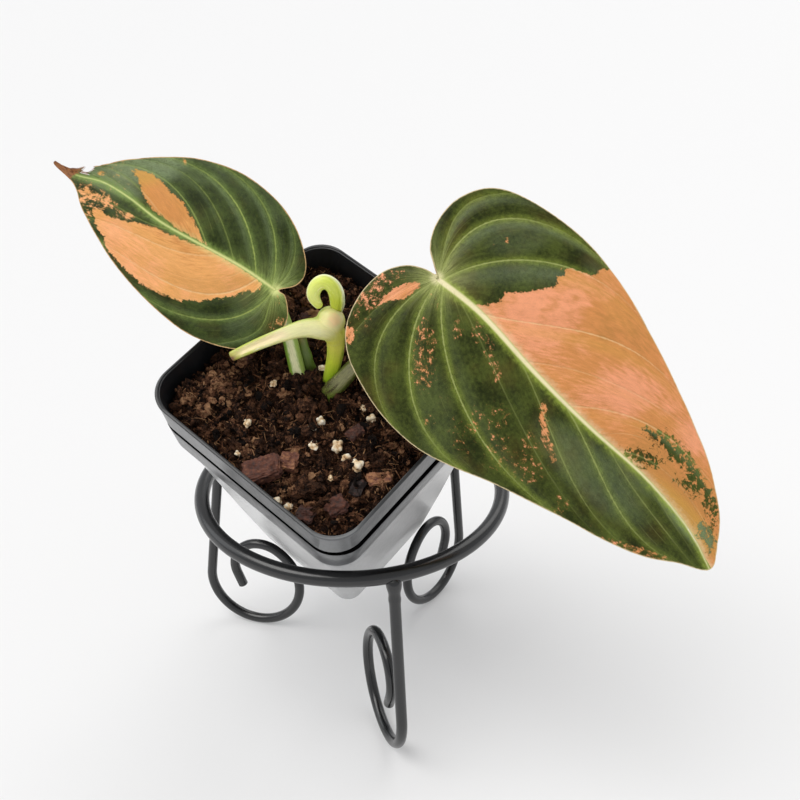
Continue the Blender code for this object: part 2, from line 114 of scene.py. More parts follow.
# Stand ring: thick round steel wire rolled into a hoop and butt-welded, under a satin black powder coat.
# The three legs are welded to its underside.
RING_RADIUS, RING_WIRE = 59.7, 2.95
DUST_FREE_BLACK, RUBBED_BLACK = (0.0018, 0.002, 0.0024, 1.0), (0.006, 0.0064, 0.0072, 1.0)


class Signal:
    """What comes out of a shader node. Sums and products with it add Math nodes to its tree."""

    def __init__(self, coat, socket):
        self.coat, self.socket = coat, socket

    def also(self, name):
        """Another output of the same node."""
        return Signal(self.coat, self.socket.node.outputs[name])

    def math(self, operation, other=0.0):
        """A Math node on this value and another."""
        return self.coat.add("ShaderNodeMath", {"operation": operation}, 0, _0=self, _1=other)

    def __add__(self, other):
        return self.math("ADD", other)

    def __sub__(self, other):
        return self.math("SUBTRACT", other)

    def __mul__(self, other):
        return self.math("MULTIPLY", other)

    def __pow__(self, other):
        return self.math("POWER", other)


class Coat:
    """A material in the making: most methods add one kind of node, and plug_in ends it at the shader."""

    def __init__(self, name):
        self.made = bpy.data.materials.new(name)
        self.made.use_nodes = True
        self.tree = self.made.node_tree

    def fill(self, node, inputs):
        """Links or sets a node's sockets, given by name or by number."""
        for key, value in inputs.items():
            socket = node.inputs[int(key[1:]) if key[0] == "_" else key.replace("_", " ")]
            if isinstance(value, Signal):
                self.tree.links.new(value.socket, socket)
            else:
                socket.default_value = value

    def add(self, kind, settings, out, **inputs):
        """A node with its settings and sockets, and the output asked for."""
        node = self.tree.nodes.new(kind)
        for key, value in settings.items():
            setattr(node, key, value)
        self.fill(node, inputs)
        return Signal(self, node.outputs[out])

    def place(self, axis=None):
        """Object coordinates, or one of them."""
        spot = self.add("ShaderNodeTexCoord", {}, "Object")
        return self.add("ShaderNodeSeparateXYZ", {}, axis, Vector=spot) if axis else spot

    def mark(self, name, out="Fac"):
        """A value that rides on the mesh."""
        return self.add("ShaderNodeAttribute", {"attribute_name": name}, out)

    def stretched(self, where, scale, turned=(0.0, 0.0, 0.0)):
        """Coordinates turned and scaled, to draw a pattern out along one way."""
        return self.add("ShaderNodeMapping", {}, "Vector", Vector=where, Rotation=turned, Scale=scale)

    def noise(self, where, scale, detail, roughness=0.5, distortion=0.0):
        """Cloudy noise."""
        return self.add("ShaderNodeTexNoise", {}, "Fac", Vector=where, Scale=scale, Detail=detail,
                        Roughness=roughness, Distortion=distortion)

    def fit(self, value, low, high, to_low=0.0, to_high=1.0, kind="LINEAR"):
        """The value's span from low to high carried over to another, and held at its ends."""
        return self.add("ShaderNodeMapRange", {"interpolation_type": kind}, "Result", Value=value, From_Min=low,
                        From_Max=high, To_Min=to_low, To_Max=to_high)

    def step(self, value, low, high, to_low=0.0, to_high=1.0):
        """The same with soft ends."""
        return self.fit(value, low, high, to_low, to_high, "SMOOTHSTEP")

    def blend(self, share, a, b, kind="MIX"):
        """Two colours mixed by a share."""
        return self.add("ShaderNodeMix", {"data_type": "RGBA", "blend_type": kind}, 2, _0=share, _6=a, _7=b)

    def shaded(self, colour, shade):
        """A colour made darker or lighter by a factor."""
        grey = self.add("ShaderNodeCombineColor", {}, "Color", Red=shade, Green=shade, Blue=shade)
        return self.blend(1.0, colour, grey, "MULTIPLY")

    def ramp(self, value, *stops):
        """Colours along a value, each at its place."""
        colours = self.add("ShaderNodeValToRGB", {}, "Color", Fac=value)
        elements = colours.socket.node.color_ramp.elements
        for element, (position, colour) in zip(elements, (stops[0], stops[-1])):
            element.position, element.color = position, colour
        for position, colour in stops[1:-1]:
            elements.new(position).color = colour
        return colours

    def grain(self, where, scale, detail, low, high):
        """The fine grain placed in this coat: its roughness, and its height for a bump."""
        fine = self.add("ShaderNodeGroup", {"node_tree": fine_grain}, "Value", Vector=where, Scale=scale,
                        Detail=detail, Low=low, High=high)
        return fine, fine.also("Height")

    def plug_in(self, colour, rough, height=None, strength=0.0, distance=0.0, **sockets):
        """Plugs colour, roughness and bump into the shader, sets its other sockets and gives the material."""
        if height:
            sockets["Normal"] = self.add("ShaderNodeBump", {}, "Normal", Height=height, Strength=strength,
                                         Distance=distance)
        self.fill(self.tree.nodes["Principled BSDF"], {"Base Color": colour, "Roughness": rough, **sockets})
        return self.made


class Effect(Coat):
    """A node group in the making, with named inputs and outputs, that more than one coat places in itself."""

    def __init__(self, name, inputs, outputs):
        self.tree = bpy.data.node_groups.new(name, "ShaderNodeTree")
        for side, sockets in (("INPUT", inputs), ("OUTPUT", outputs)):
            for socket, kind in sockets.items():
                self.tree.interface.new_socket(name=socket, in_out=side, socket_type="NodeSocket" + kind)

    def given(self, *names):
        """What the coat gives it, by name."""
        return [self.add("NodeGroupInput", {}, name) for name in names]

    def put_out(self, **values):
        """Gives the coat its outputs, and gives the finished group."""
        self.fill(self.tree.nodes.new("NodeGroupOutput"), values)
        return self.tree


def grain_group():
    """Fine grain: a noise on Object coordinates between two levels, and its height for a bump."""
    numbers = dict.fromkeys(("Scale", "Detail", "Low", "High"), "Float")
    group = Effect("fine_grain", {"Vector": "Vector", **numbers}, {"Value": "Float", "Height": "Float"})
    where, scale, detail, low, high = group.given("Vector", "Scale", "Detail", "Low", "High")
    field = group.noise(where, scale, detail)
    return group.put_out(Value=group.fit(field, 0.3, 0.7, low, high), Height=field)


fine_grain = grain_group()


def powder_coat():
    """Satin black powder coat: a faint orange peel, and dust-grey rubbed patches."""
    coat = Coat("satin_powder_coat")
    place = coat.place()
    rough, peel = coat.grain(place, 900.0, 2.0, 0.2, 0.26)
    rub = coat.ramp(coat.noise(place, 60.0, 5.0, 0.6), (0.35, DUST_FREE_BLACK), (0.75, RUBBED_BLACK))
    return coat.plug_in(rub, rough, peel, 0.04, 0.0002, Specular_IOR_Level=0.75)


powder = powder_coat()


def added(operator, **settings):
    """Runs one operator that adds a shape, with nothing else selected, and returns the shape."""
    bpy.ops.object.select_all(action="DESELECT")
    operator(**settings)
    return bpy.context.object


def pick_alone(piece):
    """Makes one piece the only one selected, and the active one."""
    bpy.ops.object.select_all(action="DESELECT")
    piece.select_set(True)
    bpy.context.view_layer.objects.active = piece


def into_edit(piece):
    """Selects one piece alone and opens it in edit mode with all of it selected."""
    pick_alone(piece)
    bpy.ops.object.mode_set(mode="EDIT")
    bpy.ops.mesh.select_all(action="SELECT")


def turn_outwards():
    """Turns the open piece's faces outwards and closes edit mode."""
    bpy.ops.mesh.select_all(action="SELECT")
    bpy.ops.mesh.normals_make_consistent(inside=False)
    bpy.ops.object.mode_set(mode="OBJECT")


def new_piece(name, points, faces):
    """A piece from points in metres and its faces."""
    mesh = bpy.data.meshes.new(name)
    mesh.from_pydata([tuple(point) for point in points], [], faces)
    return put(name, mesh, (0.0, 0.0, 0.0))


def lay_marks(piece, **marks):
    """Lays values on the points of a mesh, for its material to read; three columns make a vector."""
    for key, value in marks.items():
        value = np.asarray(value, np.float32)
        kind, field = ("FLOAT", "value") if value.ndim == 1 else ("FLOAT_VECTOR", "vector")
        piece.data.attributes.new(key, kind, "POINT").data.foreach_set(field, value.ravel())


def finish_piece(piece, name, coat, slot, *nodes, smooth=40):
    """Applies the modifiers and the place, shades it, gives it its coat and lets it stand for its CAD nodes."""
    pick_alone(piece)
    faces = [face.material_index for face in piece.data.polygons]
    piece.data.materials.clear()
    for one in coat if isinstance(coat, tuple) else (coat,):
        piece.data.materials.append(one)
    for face, index in zip(piece.data.polygons, faces):
        face.material_index = index
    for modifier in list(piece.modifiers):
        bpy.ops.object.modifier_apply(modifier=modifier.name)
    bpy.ops.object.transform_apply(location=True, rotation=True, scale=True)
    bpy.ops.object.shade_smooth_by_angle(angle=math.radians(smooth))
    # What passes the CAD's bounds is brought back to them
    for vert in piece.data.vertices:
        vert.co = [min(max(c, low), high) for c, low, high in zip(vert.co, *cad_box)]
    piece.name = piece.data.name = name
    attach(piece, "root")
    if nodes:
        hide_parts(*nodes)
    piece.select_set(False)


ring = added(bpy.ops.mesh.primitive_torus_add, major_segments=180, minor_segments=28,
             major_radius=RING_RADIUS * MM, minor_radius=RING_WIRE * MM, location=ring_centre)
finish_piece(ring, "ring", powder, "black_powder_coat", "stand_ring", smooth=60)

# Scroll legs: thinner wire of the same steel, bent cold round pins into a scroll and cut square, then
# welded under the ring with a bead that flares into both wires. Each stands on its lowest bend.
LEG_WIRE, LEG_OFFSET, WELD_DROP = 2.1, 1.6, 2.7
LEG_SPLAY, LEG_STRAIGHT, LEG_TAIL, LEG_CHAMFER = 8.3, 58.5, 7.0, 0.4
# The weld as distances down the leg from its joint and radii: a rounded top, a flare and a drip below it
WELD = ((-2.9, 0.7), (-2.5, 1.7), (-1.6, 2.6), (0.0, 2.9), (1.4, 2.75), (2.8, 2.4), (3.9, 2.18), (4.9, 2.2),
        (5.9, 2.32), (6.9, 2.28), (8.0, 2.12))
LEG_BENDS = ((20.1, 89.0), (21.7, 155.7), (13.2, 143.8))
LEGS = {"leg_front": (-74.1, 3.2), "leg_right": (46.8, 6.9), "leg_left": (159.9, 4.3)}


def end_loop_middle():
    """The middle of the loop that the last operator left selected."""
    shape = bmesh.from_edit_mesh(bpy.context.edit_object.data)
    chosen = [vert.co.copy() for vert in shape.verts if vert.select]
    return sum(chosen, Vector()) / len(chosen)


def scroll_leg(azimuth, twist):
    """One leg: a wire's end face drawn down along the straight and spun round the centre of each bend."""
    radial, plane = (Vector((math.cos(math.radians(turned)), math.sin(math.radians(turned)), 0.0))
                     for turned in (azimuth, azimuth + twist))
    upright = Vector((0.0, 0.0, 1.0))
    start = ring_centre - upright * WELD_DROP * MM + radial * (RING_RADIUS + LEG_OFFSET) * MM
    heading = math.radians(LEG_SPLAY)
    way = (plane * math.sin(heading) - upright * math.cos(heading)).normalized()
    gone, radius = WELD[0]
    leg = added(bpy.ops.mesh.primitive_circle_add, vertices=24, radius=radius * MM, fill_type="NGON",
                location=start + way * gone * MM, rotation=way.to_track_quat("Z", "Y").to_euler())
    bpy.ops.object.transform_apply(location=True, rotation=True, scale=True)
    into_edit(leg)
    below_weld = WELD[-1][0]
    straight = [(below_weld + (LEG_STRAIGHT - below_weld) * (step + 1) / 10, LEG_WIRE) for step in range(10)]
    for next_gone, next_radius in [*WELD[1:], *straight]:
        bpy.ops.mesh.extrude_region_move(TRANSFORM_OT_translate={"value": way * (next_gone - gone) * MM})
        grow = next_radius / radius
        bpy.ops.transform.resize(value=(grow, grow, grow), center_override=end_loop_middle())
        gone, radius = next_gone, next_radius
    bpy.ops.mesh.delete(type="ONLY_FACE")
    bpy.ops.mesh.select_all(action="DESELECT")
    tip = start + way * LEG_STRAIGHT * MM
    shape = bmesh.from_edit_mesh(leg.data)
    for vert in shape.verts:
        vert.select = abs((vert.co - tip).dot(way)) < 0.00005
    shape.select_flush(True)
    for radius, degrees in LEG_BENDS:
        inward = -(plane * math.cos(heading) + upright * math.sin(heading))
        bpy.ops.mesh.spin(steps=max(8, round(degrees / 4)), angle=math.radians(degrees), dupli=False,
                          center=end_loop_middle() + inward * radius * MM, axis=plane.cross(upright))
        heading -= math.radians(degrees)
    way = plane * math.sin(heading) - upright * math.cos(heading)
    for length in (LEG_TAIL - LEG_CHAMFER, LEG_CHAMFER):
        bpy.ops.mesh.extrude_region_move(TRANSFORM_OT_translate={"value": way * length * MM})
    bpy.ops.transform.resize(value=(0.82, 0.82, 0.82), center_override=end_loop_middle())
    bpy.ops.mesh.edge_face_add()
    bpy.ops.mesh.select_all(action="SELECT")
    bpy.ops.mesh.remove_doubles(threshold=0.00001)
    bpy.ops.mesh.bisect(plane_co=(0.0, 0.0, 0.00001), plane_no=upright, use_fill=True, clear_inner=True)
    turn_outwards()
    return leg


for name, (azimuth, twist) in LEGS.items():
    finish_piece(scroll_leg(azimuth, twist), name, powder, "black_powder_coat", "stand_" + name, smooth=60)

# Nursery pot: one thin moulding of glossy black plastic, square with round corners and tapered. It has a
# rolled lip, a groove under it, a second band and drain holes, and leans forwards inside the ring.
POT_TILT, POT_TURN, POT_CENTRE = 32.5, 49.7, (-6.1, -34.7, 150.9)
POT_FOOT, POT_FOOT_CORNER = (24.4, -130.0), 6.256
# The wall as half sides and heights, from the foot up its outside to the rim and down its inside
POT_WALL = ((25.6, -129.9), (26.6, -129.3), (27.3, -128.3), (32.8, -93.0), (41.7, -30.4), (42.0, -29.0),
            (42.3, -28.6), (42.9, -28.3), (43.3, -27.6), (43.9, -15.6), (43.85, -15.1), (43.6, -14.9),
            (42.3, -14.8), (42.3, -13.1), (43.6, -13.0), (43.9, -12.7), (44.25, -1.5), (44.45, -1.2),
            (44.45, -0.4), (44.2, -0.05), (43.75, 0.0), (43.55, -0.12), (43.45, -0.5), (43.2, -0.55),
            (43.0, -1.1), (41.0, -28.6), (40.1, -32.4), (25.9, -126.6), (25.0, -126.8))
DRAIN_HOLES = ((0.0, 0.0), (14.0, 14.0), (-14.0, 14.0), (-14.0, -14.0), (14.0, -14.0))
pot_frame = (Matrix.Translation(Vector((ring_centre.x, ring_centre.y, 0.0)) + Vector(POT_CENTRE) * MM)
             @ Matrix.Rotation(math.radians(POT_TILT), 4, "X"))


def in_pot(x, y, z):
    """A point of the pot's leaning frame, in millimetres from the middle of the rim, as a place in the room."""
    return pot_frame @ (Vector((x, y, z)) * MM)


def pot_plastic(name, clean, dusty, rubbed, haze, **gloss):
    """Black polypropylene: faint drag lines of the mould, a breath of dust, and a grey painted highlight down
    the front corner.
    """
    coat = Coat(name)
    place = coat.place()
    drawn = coat.stretched(place, (1.0, 1.0, 0.12), (-math.radians(POT_TILT), 0.0, 0.0))
    rough, lines = coat.grain(drawn, 900.0, 3.0, 0.3, 0.38)
    dust = coat.fit(coat.noise(place, 38.0, 3.0), 0.4, 0.75, 0.0, 0.7)
    # Mask for the painted highlight: the third, lighter grey colour goes down the corner nearest the camera
    aside = (coat.place("X") - (ring_centre.x - 0.001)).math("ABSOLUTE")
    front = (coat.step(aside, 0.003, 0.014, 1.0, 0.0)
             * coat.fit(coat.place("Y"), ring_centre.y - 0.06, ring_centre.y - 0.045, 1.0, 0.0))
    colour = coat.blend(front, coat.blend(dust, clean, dusty), rubbed)
    return coat.plug_in(colour, rough, lines, 0.015, 0.0002, Coat_Roughness=0.24, Sheen_Weight=haze,
                        Sheen_Roughness=0.3, Specular_IOR_Level=0.45, **gloss)


# In each black the third colour is the painted highlight on the front corner
black_plastic = pot_plastic("glossy_black_plastic", (0.008, 0.009, 0.011, 1.0), (0.03, 0.033, 0.038, 1.0),
                            (0.1, 0.104, 0.108, 1.0), 0.04, Coat_Weight=0.3, Coat_IOR=1.45)
# The wall's plastic: dust haze, and a lighter base that is a painted reflection of the pale table
dust_and_reflection_plastic = pot_plastic("black_plastic_dust_and_painted_reflection", (0.03, 0.031, 0.033, 1.0), (0.085, 0.088, 0.093, 1.0),
                            (0.17, 0.174, 0.18, 1.0), 0.35, Coat_Weight=1.0, Coat_IOR=1.85)


def groove_shade():
    """Painted shade for the slot under the lip: the plastic near black and rough, with faint specks along it.
    """
    coat = Coat("groove_painted_shade")
    place = coat.place()
    dust = coat.ramp(coat.noise(place, 240.0, 4.0), (0.4, (0.0004, 0.0004, 0.0005, 1.0)),
                     (0.8, (0.003, 0.003, 0.0035, 1.0)))
    rough, _ = coat.grain(place, 900.0, 3.0, 0.7, 0.9)
    return coat.plug_in(dust, rough, Specular_IOR_Level=0.03)


groove_painted_shade = groove_shade()
half, z = POT_FOOT
pot = added(bpy.ops.mesh.primitive_plane_add, size=2 * half * MM, location=(0.0, 0.0, z * MM))
bpy.ops.object.transform_apply(location=True, rotation=True, scale=True)
into_edit(pot)
bpy.ops.mesh.bevel(affect="VERTICES", offset=POT_FOOT_CORNER * MM, offset_type="OFFSET", segments=12,
                   profile=0.5)
bpy.ops.mesh.select_all(action="SELECT")
for next_half, next_z in POT_WALL:
    bpy.ops.mesh.extrude_region_move(TRANSFORM_OT_translate={"value": (0.0, 0.0, (next_z - z) * MM)})
    bpy.ops.transform.resize(value=(next_half / half, next_half / half, 1.0), center_override=(0.0, 0.0, 0.0))
    half, z = next_half, next_z
bpy.ops.mesh.edge_face_add()
turn_outwards()

# The slot under the lip opens wider along the front right side. Its faces take a near-black painted shade,
# and the wall below a hazed plastic that is lighter as a painted reflection.
for vert in pot.data.vertices:
    x, y, z = vert.co / MM
    if -15.9 < z < -12.8 and y < -36.0:
        wide = min(max((x + 41.0) / 14.0, 0.0), 1.0) * min(max((40.0 - x) / 10.0, 0.0), 1.0)
        vert.co.z += (-3.0 if z < -14.0 else 0.9) * wide * MM
for face in pot.data.polygons:
    heights = [pot.data.vertices[index].co.z / MM for index in face.vertices]
    low, high = min(heights), max(heights)
    # Faces in the slot take the painted shade, the tapered wall the hazed plastic with its painted reflection
    in_slot = -18.5 < low and high < -12.0 and high - low < 6.0
    outer = face.normal.xy.dot(face.center.xy.normalized()) > -0.2
    face.material_index = 1 if in_slot and outer else 2 if high < -28.2 else 0
for x, y in DRAIN_HOLES:
    hole = added(bpy.ops.mesh.primitive_cylinder_add, vertices=32, radius=3.5 * MM, depth=8.0 * MM,
                 location=(x * MM, y * MM, -0.128))
    cut = pot.modifiers.new("drain_hole", "BOOLEAN")
    cut.operation, cut.object = "DIFFERENCE", hole
    bpy.context.view_layer.objects.active = pot
    bpy.ops.object.modifier_apply(modifier=cut.name)
    bpy.data.objects.remove(hole, do_unlink=True)
pot.matrix_world = pot_frame @ Matrix.Rotation(math.radians(POT_TURN), 4, "Z")
pot_coats = (black_plastic, groove_painted_shade, dust_and_reflection_plastic)
finish_piece(pot, "pot", pot_coats, "pot_plastic", "nursery_pot", smooth=35)

# Potting mix: damp peat and bark fines with coir fibre, pressed in by hand to a finger's width under the
# rim. Crumbs and fibres lie loose on top of a lumpy bed that fills the pot down to its base.
SOIL_LEVEL, SOIL_ROUGHNESS, SOIL_HALF, SOIL_CORNER = -9.5, 1.5, 42.3, 8.9
GROOVE_TOP, GROOVE_HALF, GROOVE_CORNER = -11.5, 41.4, 9.6
SOIL_MOUNDS = ((-37.0, 0.5, 6.5, 4.2), (-2.0, 30.0, 16.0, 2.2), (-8.0, -15.0, 5.0, 2.4),
               (14.0, -32.0, 8.0, 1.0), (-10.6, 4.2, 3.4, 4.6), (-4.8, 6.2, 2.6, 3.6),
               (-24.0, -6.0, 4.0, 1.6), (-18.0, -20.0, 4.0, 1.4), (20.0, -20.0, 5.0, 1.2),
               (-2.0, -36.0, 4.0, 1.2))
STALK_FEET = ((1.6, 1.6, 4.2), (-9.8, 4.2, 3.6), (-5.4, 8.8, 2.8))
LUMPS = ((0.12, 4.6, 0.36), (0.27, 3.0, 0.34), (0.62, 1.3, 0.34))
PEAT = ((0.003, 0.0013, 0.0008, 1.0), (0.048, 0.021, 0.0115, 1.0), (0.17, 0.073, 0.037, 1.0),
        (0.42, 0.23, 0.12, 1.0))
COIR = ((0.022, 0.009, 0.005, 1.0), (0.085, 0.035, 0.017, 1.0), (0.23, 0.1, 0.048, 1.0),
        (0.45, 0.25, 0.125, 1.0))
SHADES = (0.1, 0.4, 0.68, 0.98)
turn = math.radians(POT_TURN)


def soil_level(x, y):
    """The bed's height in the pot's frame before its lumps, in millimetres."""
    rough = noise.fractal(Vector((x, y, 3.0)) * 0.09, 1.0, 2.0, 3) * SOIL_ROUGHNESS
    return SOIL_LEVEL + rough + sum(h * math.exp(-((x - a) ** 2 + (y - b) ** 2) / (2 * w * w))
                                    for a, b, w, h in SOIL_MOUNDS)


def soil_surface(x, y):
    """The bed's height with its broken lumps, of about 8, 4 and 1.5 mm, and a fine crumb over all."""
    aside, away = noise.noise(Vector((x, y, 0.0)) * 0.22), noise.noise(Vector((y, x, 4.0)) * 0.22)
    stray = Vector((aside, away, 0.0)) * 3.0
    high = 0.0
    for per_mm, deep, level in LUMPS:
        near, next_near = noise.voronoi((Vector((x, y, 1.0)) + stray) * per_mm)[0][:2]
        high += deep * (level - near) * 0.6 + deep * 0.35 * min(next_near - near, 0.25) / 0.25 - deep * 0.2
    return soil_level(x, y) + (high + 0.9 * noise.fractal(Vector((x, y, 9.0)) * 0.9, 0.6, 2.1, 4))


def square_reach(angle, half, corner):
    """How far a square with round corners reaches from its middle in one direction."""
    c, s = abs(math.cos(angle)), abs(math.sin(angle))
    inner, reach = half - corner, half / max(c, s)
    if min(c, s) * reach > inner:
        along = inner * (c + s)
        reach = along + math.sqrt(max(along * along - 2 * inner * inner + corner * corner, 0.0))
    return reach


mix = added(bpy.ops.mesh.primitive_grid_add, x_subdivisions=240, y_subdivisions=240, size=2.0)
for vert in mix.data.vertices:
    angle = math.atan2(vert.co.y, vert.co.x)
    share = max(abs(vert.co.x), abs(vert.co.y))
    c, s = math.cos(angle + turn), math.sin(angle + turn)
    reach = share * square_reach(angle, SOIL_HALF, SOIL_CORNER + 1.8)
    z = soil_surface(reach * c, reach * s) - 1.6 * max(0.0, share - 0.93) / 0.07
    if z < GROOVE_TOP:
        reach = min(reach, square_reach(angle, GROOVE_HALF, GROOVE_CORNER))
    vert.co = in_pot(reach * c, reach * s, z)
into_edit(mix)
bpy.ops.mesh.region_to_loop()
for half, z in ((40.6, -28.0), (39.5, -33.0), (25.2, -126.4)):
    bpy.ops.mesh.extrude_region_move(TRANSFORM_OT_translate={"value": (0.0, 0.0, 0.0)})
    shape = bmesh.from_edit_mesh(mix.data)
    for vert in (vert for vert in shape.verts if vert.select):
        local = pot_frame.inverted() @ vert.co
        angle = math.atan2(local.y, local.x)
        reach = square_reach(angle - turn, half, half * 0.2)
        vert.co = in_pot(reach * math.cos(angle), reach * math.sin(angle), z)
bpy.ops.mesh.edge_face_add()
turn_outwards()


def soil_coat(name, colours, scale, bump_strength, fibrous):
    """Damp organic crumb: dark peat, red-brown bark fines and fine tan fibres matted in it, rough all over."""
    coat = Coat(name)
    place = coat.place()
    fleck = coat.noise(place, scale * 5.0, 4.0, 0.7)
    both = coat.noise(place, scale, 6.0, 0.65) + coat.mark("tint") + fleck * 0.75
    level = coat.fit(both, 0.66, 1.3)
    for turned in ((0.3, 0.2, 0.6), (0.1, 0.5, 2.2)):
        strand = coat.noise(coat.stretched(place, (1.0, 0.16, 1.0), turned), scale * 8.0, 2.0, 0.5, 1.2)
        level += coat.fit(strand, 0.58, 0.7, 0.0, fibrous)
    rough, fine = coat.grain(place, scale * 9.0, 5.0, 0.62, 0.95)
    colour = coat.ramp(level, *zip(SHADES, colours))
    return coat.plug_in(colour, rough, fine + level * 0.8, bump_strength, 0.0007, Specular_IOR_Level=0.14)


peat = soil_coat("damp_peat", PEAT, 260.0, 1.0, 0.28)
coir = soil_coat("coir_fibre", COIR, 150.0, 0.3, 0.1)
finish_piece(mix, "potting_mix_bed", peat, "potting_mix", "potting_mix", smooth=50)
rng = np.random.default_rng(7)


def inside_mouth(x, y, margin):
    """True where a crumb of that size lies inside the pot and clear of the stalks."""
    angle = math.atan2(y, x) - turn
    free = all(math.hypot(x - a, y - b) > r + margin * 0.5 for a, b, r in STALK_FEET)
    return free and math.hypot(x, y) < square_reach(angle, SOIL_HALF - 0.5 - margin, SOIL_CORNER)


def scatter(count, margin=0.6, middle=None, radius=None):
    """Random places on the bed, all over or round one middle."""
    places = []
    while len(places) < count:
        if middle:
            angle, away = rng.uniform(0, 2 * math.pi), abs(rng.normal(0, radius))
            x, y = middle[0] + away * math.cos(angle), middle[1] + away * math.sin(angle)
        else:
            x, y = rng.uniform(-60.0, 60.0, 2)
        if inside_mouth(x, y, margin):
            places.append((x, y))
    return places


def loose_pieces(name, subdivisions, places, sizes, stretch, tints, sink=0.15, rough=0.3, lumps=0.0):
    """Copies of one small ball laid on the bed, each turned, stretched, dented and tinted its own way."""
    ball = added(bpy.ops.mesh.primitive_ico_sphere_add, subdivisions=subdivisions, radius=1.0)
    base = np.array([vert.co for vert in ball.data.vertices])
    faces = np.array([face.vertices for face in ball.data.polygons])
    bpy.data.objects.remove(ball)
    points, corners = [], []
    for number, ((x, y), size) in enumerate(zip(places, sizes)):
        copy = base * rng.uniform(*stretch, 3) * (1 + rng.uniform(-rough, rough, (len(base), 1)))
        if lumps:
            seed = Vector((number * 9.1, 0.0, 0.0))
            copy *= np.array([[1 + lumps * (noise.fractal(Vector(one) * 1.1 + seed, 0.5, 2.2, 4) * 1.5
                                            + 0.9 * (0.35 - noise.voronoi(Vector(one) * 1.6 + seed)[0][0]))]
                              for one in base])
        spin = Matrix.Rotation(rng.uniform(0, 6.28), 3, "Z") @ Matrix.Rotation(rng.uniform(-0.8, 0.8), 3, "X")
        copy = copy @ np.array(spin).T * size + (x, y, soil_surface(x, y) + size * (0.45 - sink))
        points += [in_pot(*point) for point in copy]
        corners += (faces + number * len(base)).tolist()
    piece = new_piece(name, points, corners)
    lay_marks(piece, tint=np.repeat(tints, len(base)))
    finish_piece(piece, name, peat, "potting_mix", smooth=30)


places = scatter(2500) + scatter(520, 0.6, (-37.0, 1.0), 5.0) + scatter(150, 0.6, (-8.0, -15.0), 4.0)
sizes = np.clip(rng.lognormal(-0.6, 0.5, len(places)), 0.2, 1.7)
tints = np.concatenate([rng.normal(0.0, 0.17, 2500), rng.normal(0.26, 0.13, 520), rng.normal(0.0, 0.15, 150)])
loose_pieces("peat_crumbs", 1, places, sizes, (0.5, 1.5), tints)
places = scatter(260, 2.0)
sizes = np.clip(rng.lognormal(0.45, 0.4, len(places)), 0.9, 3.6)
loose_pieces("peat_clods", 3, places, sizes, (0.65, 1.35), rng.normal(0.03, 0.17, len(places)), 0.4, 0.04, 0.6)

# Coir and peat fibres: short curved three-sided strands lying on the crumbs
points, corners, tints = [], [], []
for number, (x, y) in enumerate(scatter(3600, 1.0)):
    length, thick = np.clip(rng.lognormal(0.45, 0.5), 0.7, 5.5), rng.uniform(0.05, 0.17)
    heading, curl, rise = rng.uniform(0, 6.28), rng.normal(0, 0.3), rng.uniform(-0.4, 0.8)
    px, py, pz = x, y, soil_surface(x, y) + rng.uniform(0.0, 0.8)
    tints += [rng.normal(0.08, 0.26)] * 15
    for slimness in (1.0, 1.1, 1.0, 0.8, 0.35):
        slim, side = thick * slimness, Vector((-math.sin(heading), math.cos(heading), 0.0))
        points += [in_pot(px, py, pz + slim), in_pot(px + side.x * slim, py + side.y * slim, pz - slim * 0.5),
                   in_pot(px - side.x * slim, py - side.y * slim, pz - slim * 0.5)]
        px, py = px + math.cos(heading) * length / 4, py + math.sin(heading) * length / 4
        heading, rise = heading + curl * 0.5, rise - 0.12
        pz = max(pz + rise * length / 4, soil_surface(px, py) + 0.1) if inside_mouth(px, py, 0.4) else pz
    first = number * 15
    for k in range(12):
        a, b = first + k, first + k // 3 * 3 + (k + 1) % 3
        corners.append((a, b, b + 3, a + 3))
    corners += [(first + 2, first + 1, first), (first + 12, first + 13, first + 14)]
fibres = new_piece("coir_fibres", points, corners)
lay_marks(fibres, tint=tints)
finish_piece(fibres, "coir_fibres", coir, "potting_mix", smooth=80)

# Right leaf: a heart-shaped blade of velvety dark green with a peach sector, hung from its petiole. The
# veins fan from the junction and leave a cream midrib, and the blade quilts softly between them.
RIGHT_MARGIN = (
    (-1.6, 0.6), (-5.0, 2.6), (-9.4, 5.3), (-13.4, 11.4), (-15.1, 20.0), (-13.4, 27.8), (-9.5, 33.6),
    (-2.5, 37.9), (8.9, 41.2), (21.5, 43.0), (33.0, 42.7), (46.4, 40.7), (60.3, 37.2), (75.0, 33.0),
    (88.5, 28.6), (98.5, 25.0), (108.0, 20.4), (116.9, 14.7), (123.1, 8.4), (127.8, 1.1), (118.4, -5.3),
    (109.0, -12.0), (96.7, -17.6), (83.3, -22.1), (70.8, -26.7), (58.0, -31.6), (45.9, -37.2),
    (35.3, -41.0), (25.0, -42.3), (14.8, -41.9), (3.1, -39.3), (-3.6, -36.5), (-8.9, -32.1), (-12.4, -25.9),
    (-14.3, -18.1), (-13.8, -10.3), (-10.3, -4.3), (-5.4, -0.9),
)
RIGHT_MIDRIB = ((0.0, 0.0), (17.2, 2.3), (42.2, 2.0), (66.1, 3.0), (90.3, 5.3), (112.3, 4.7), (127.8, 1.1))
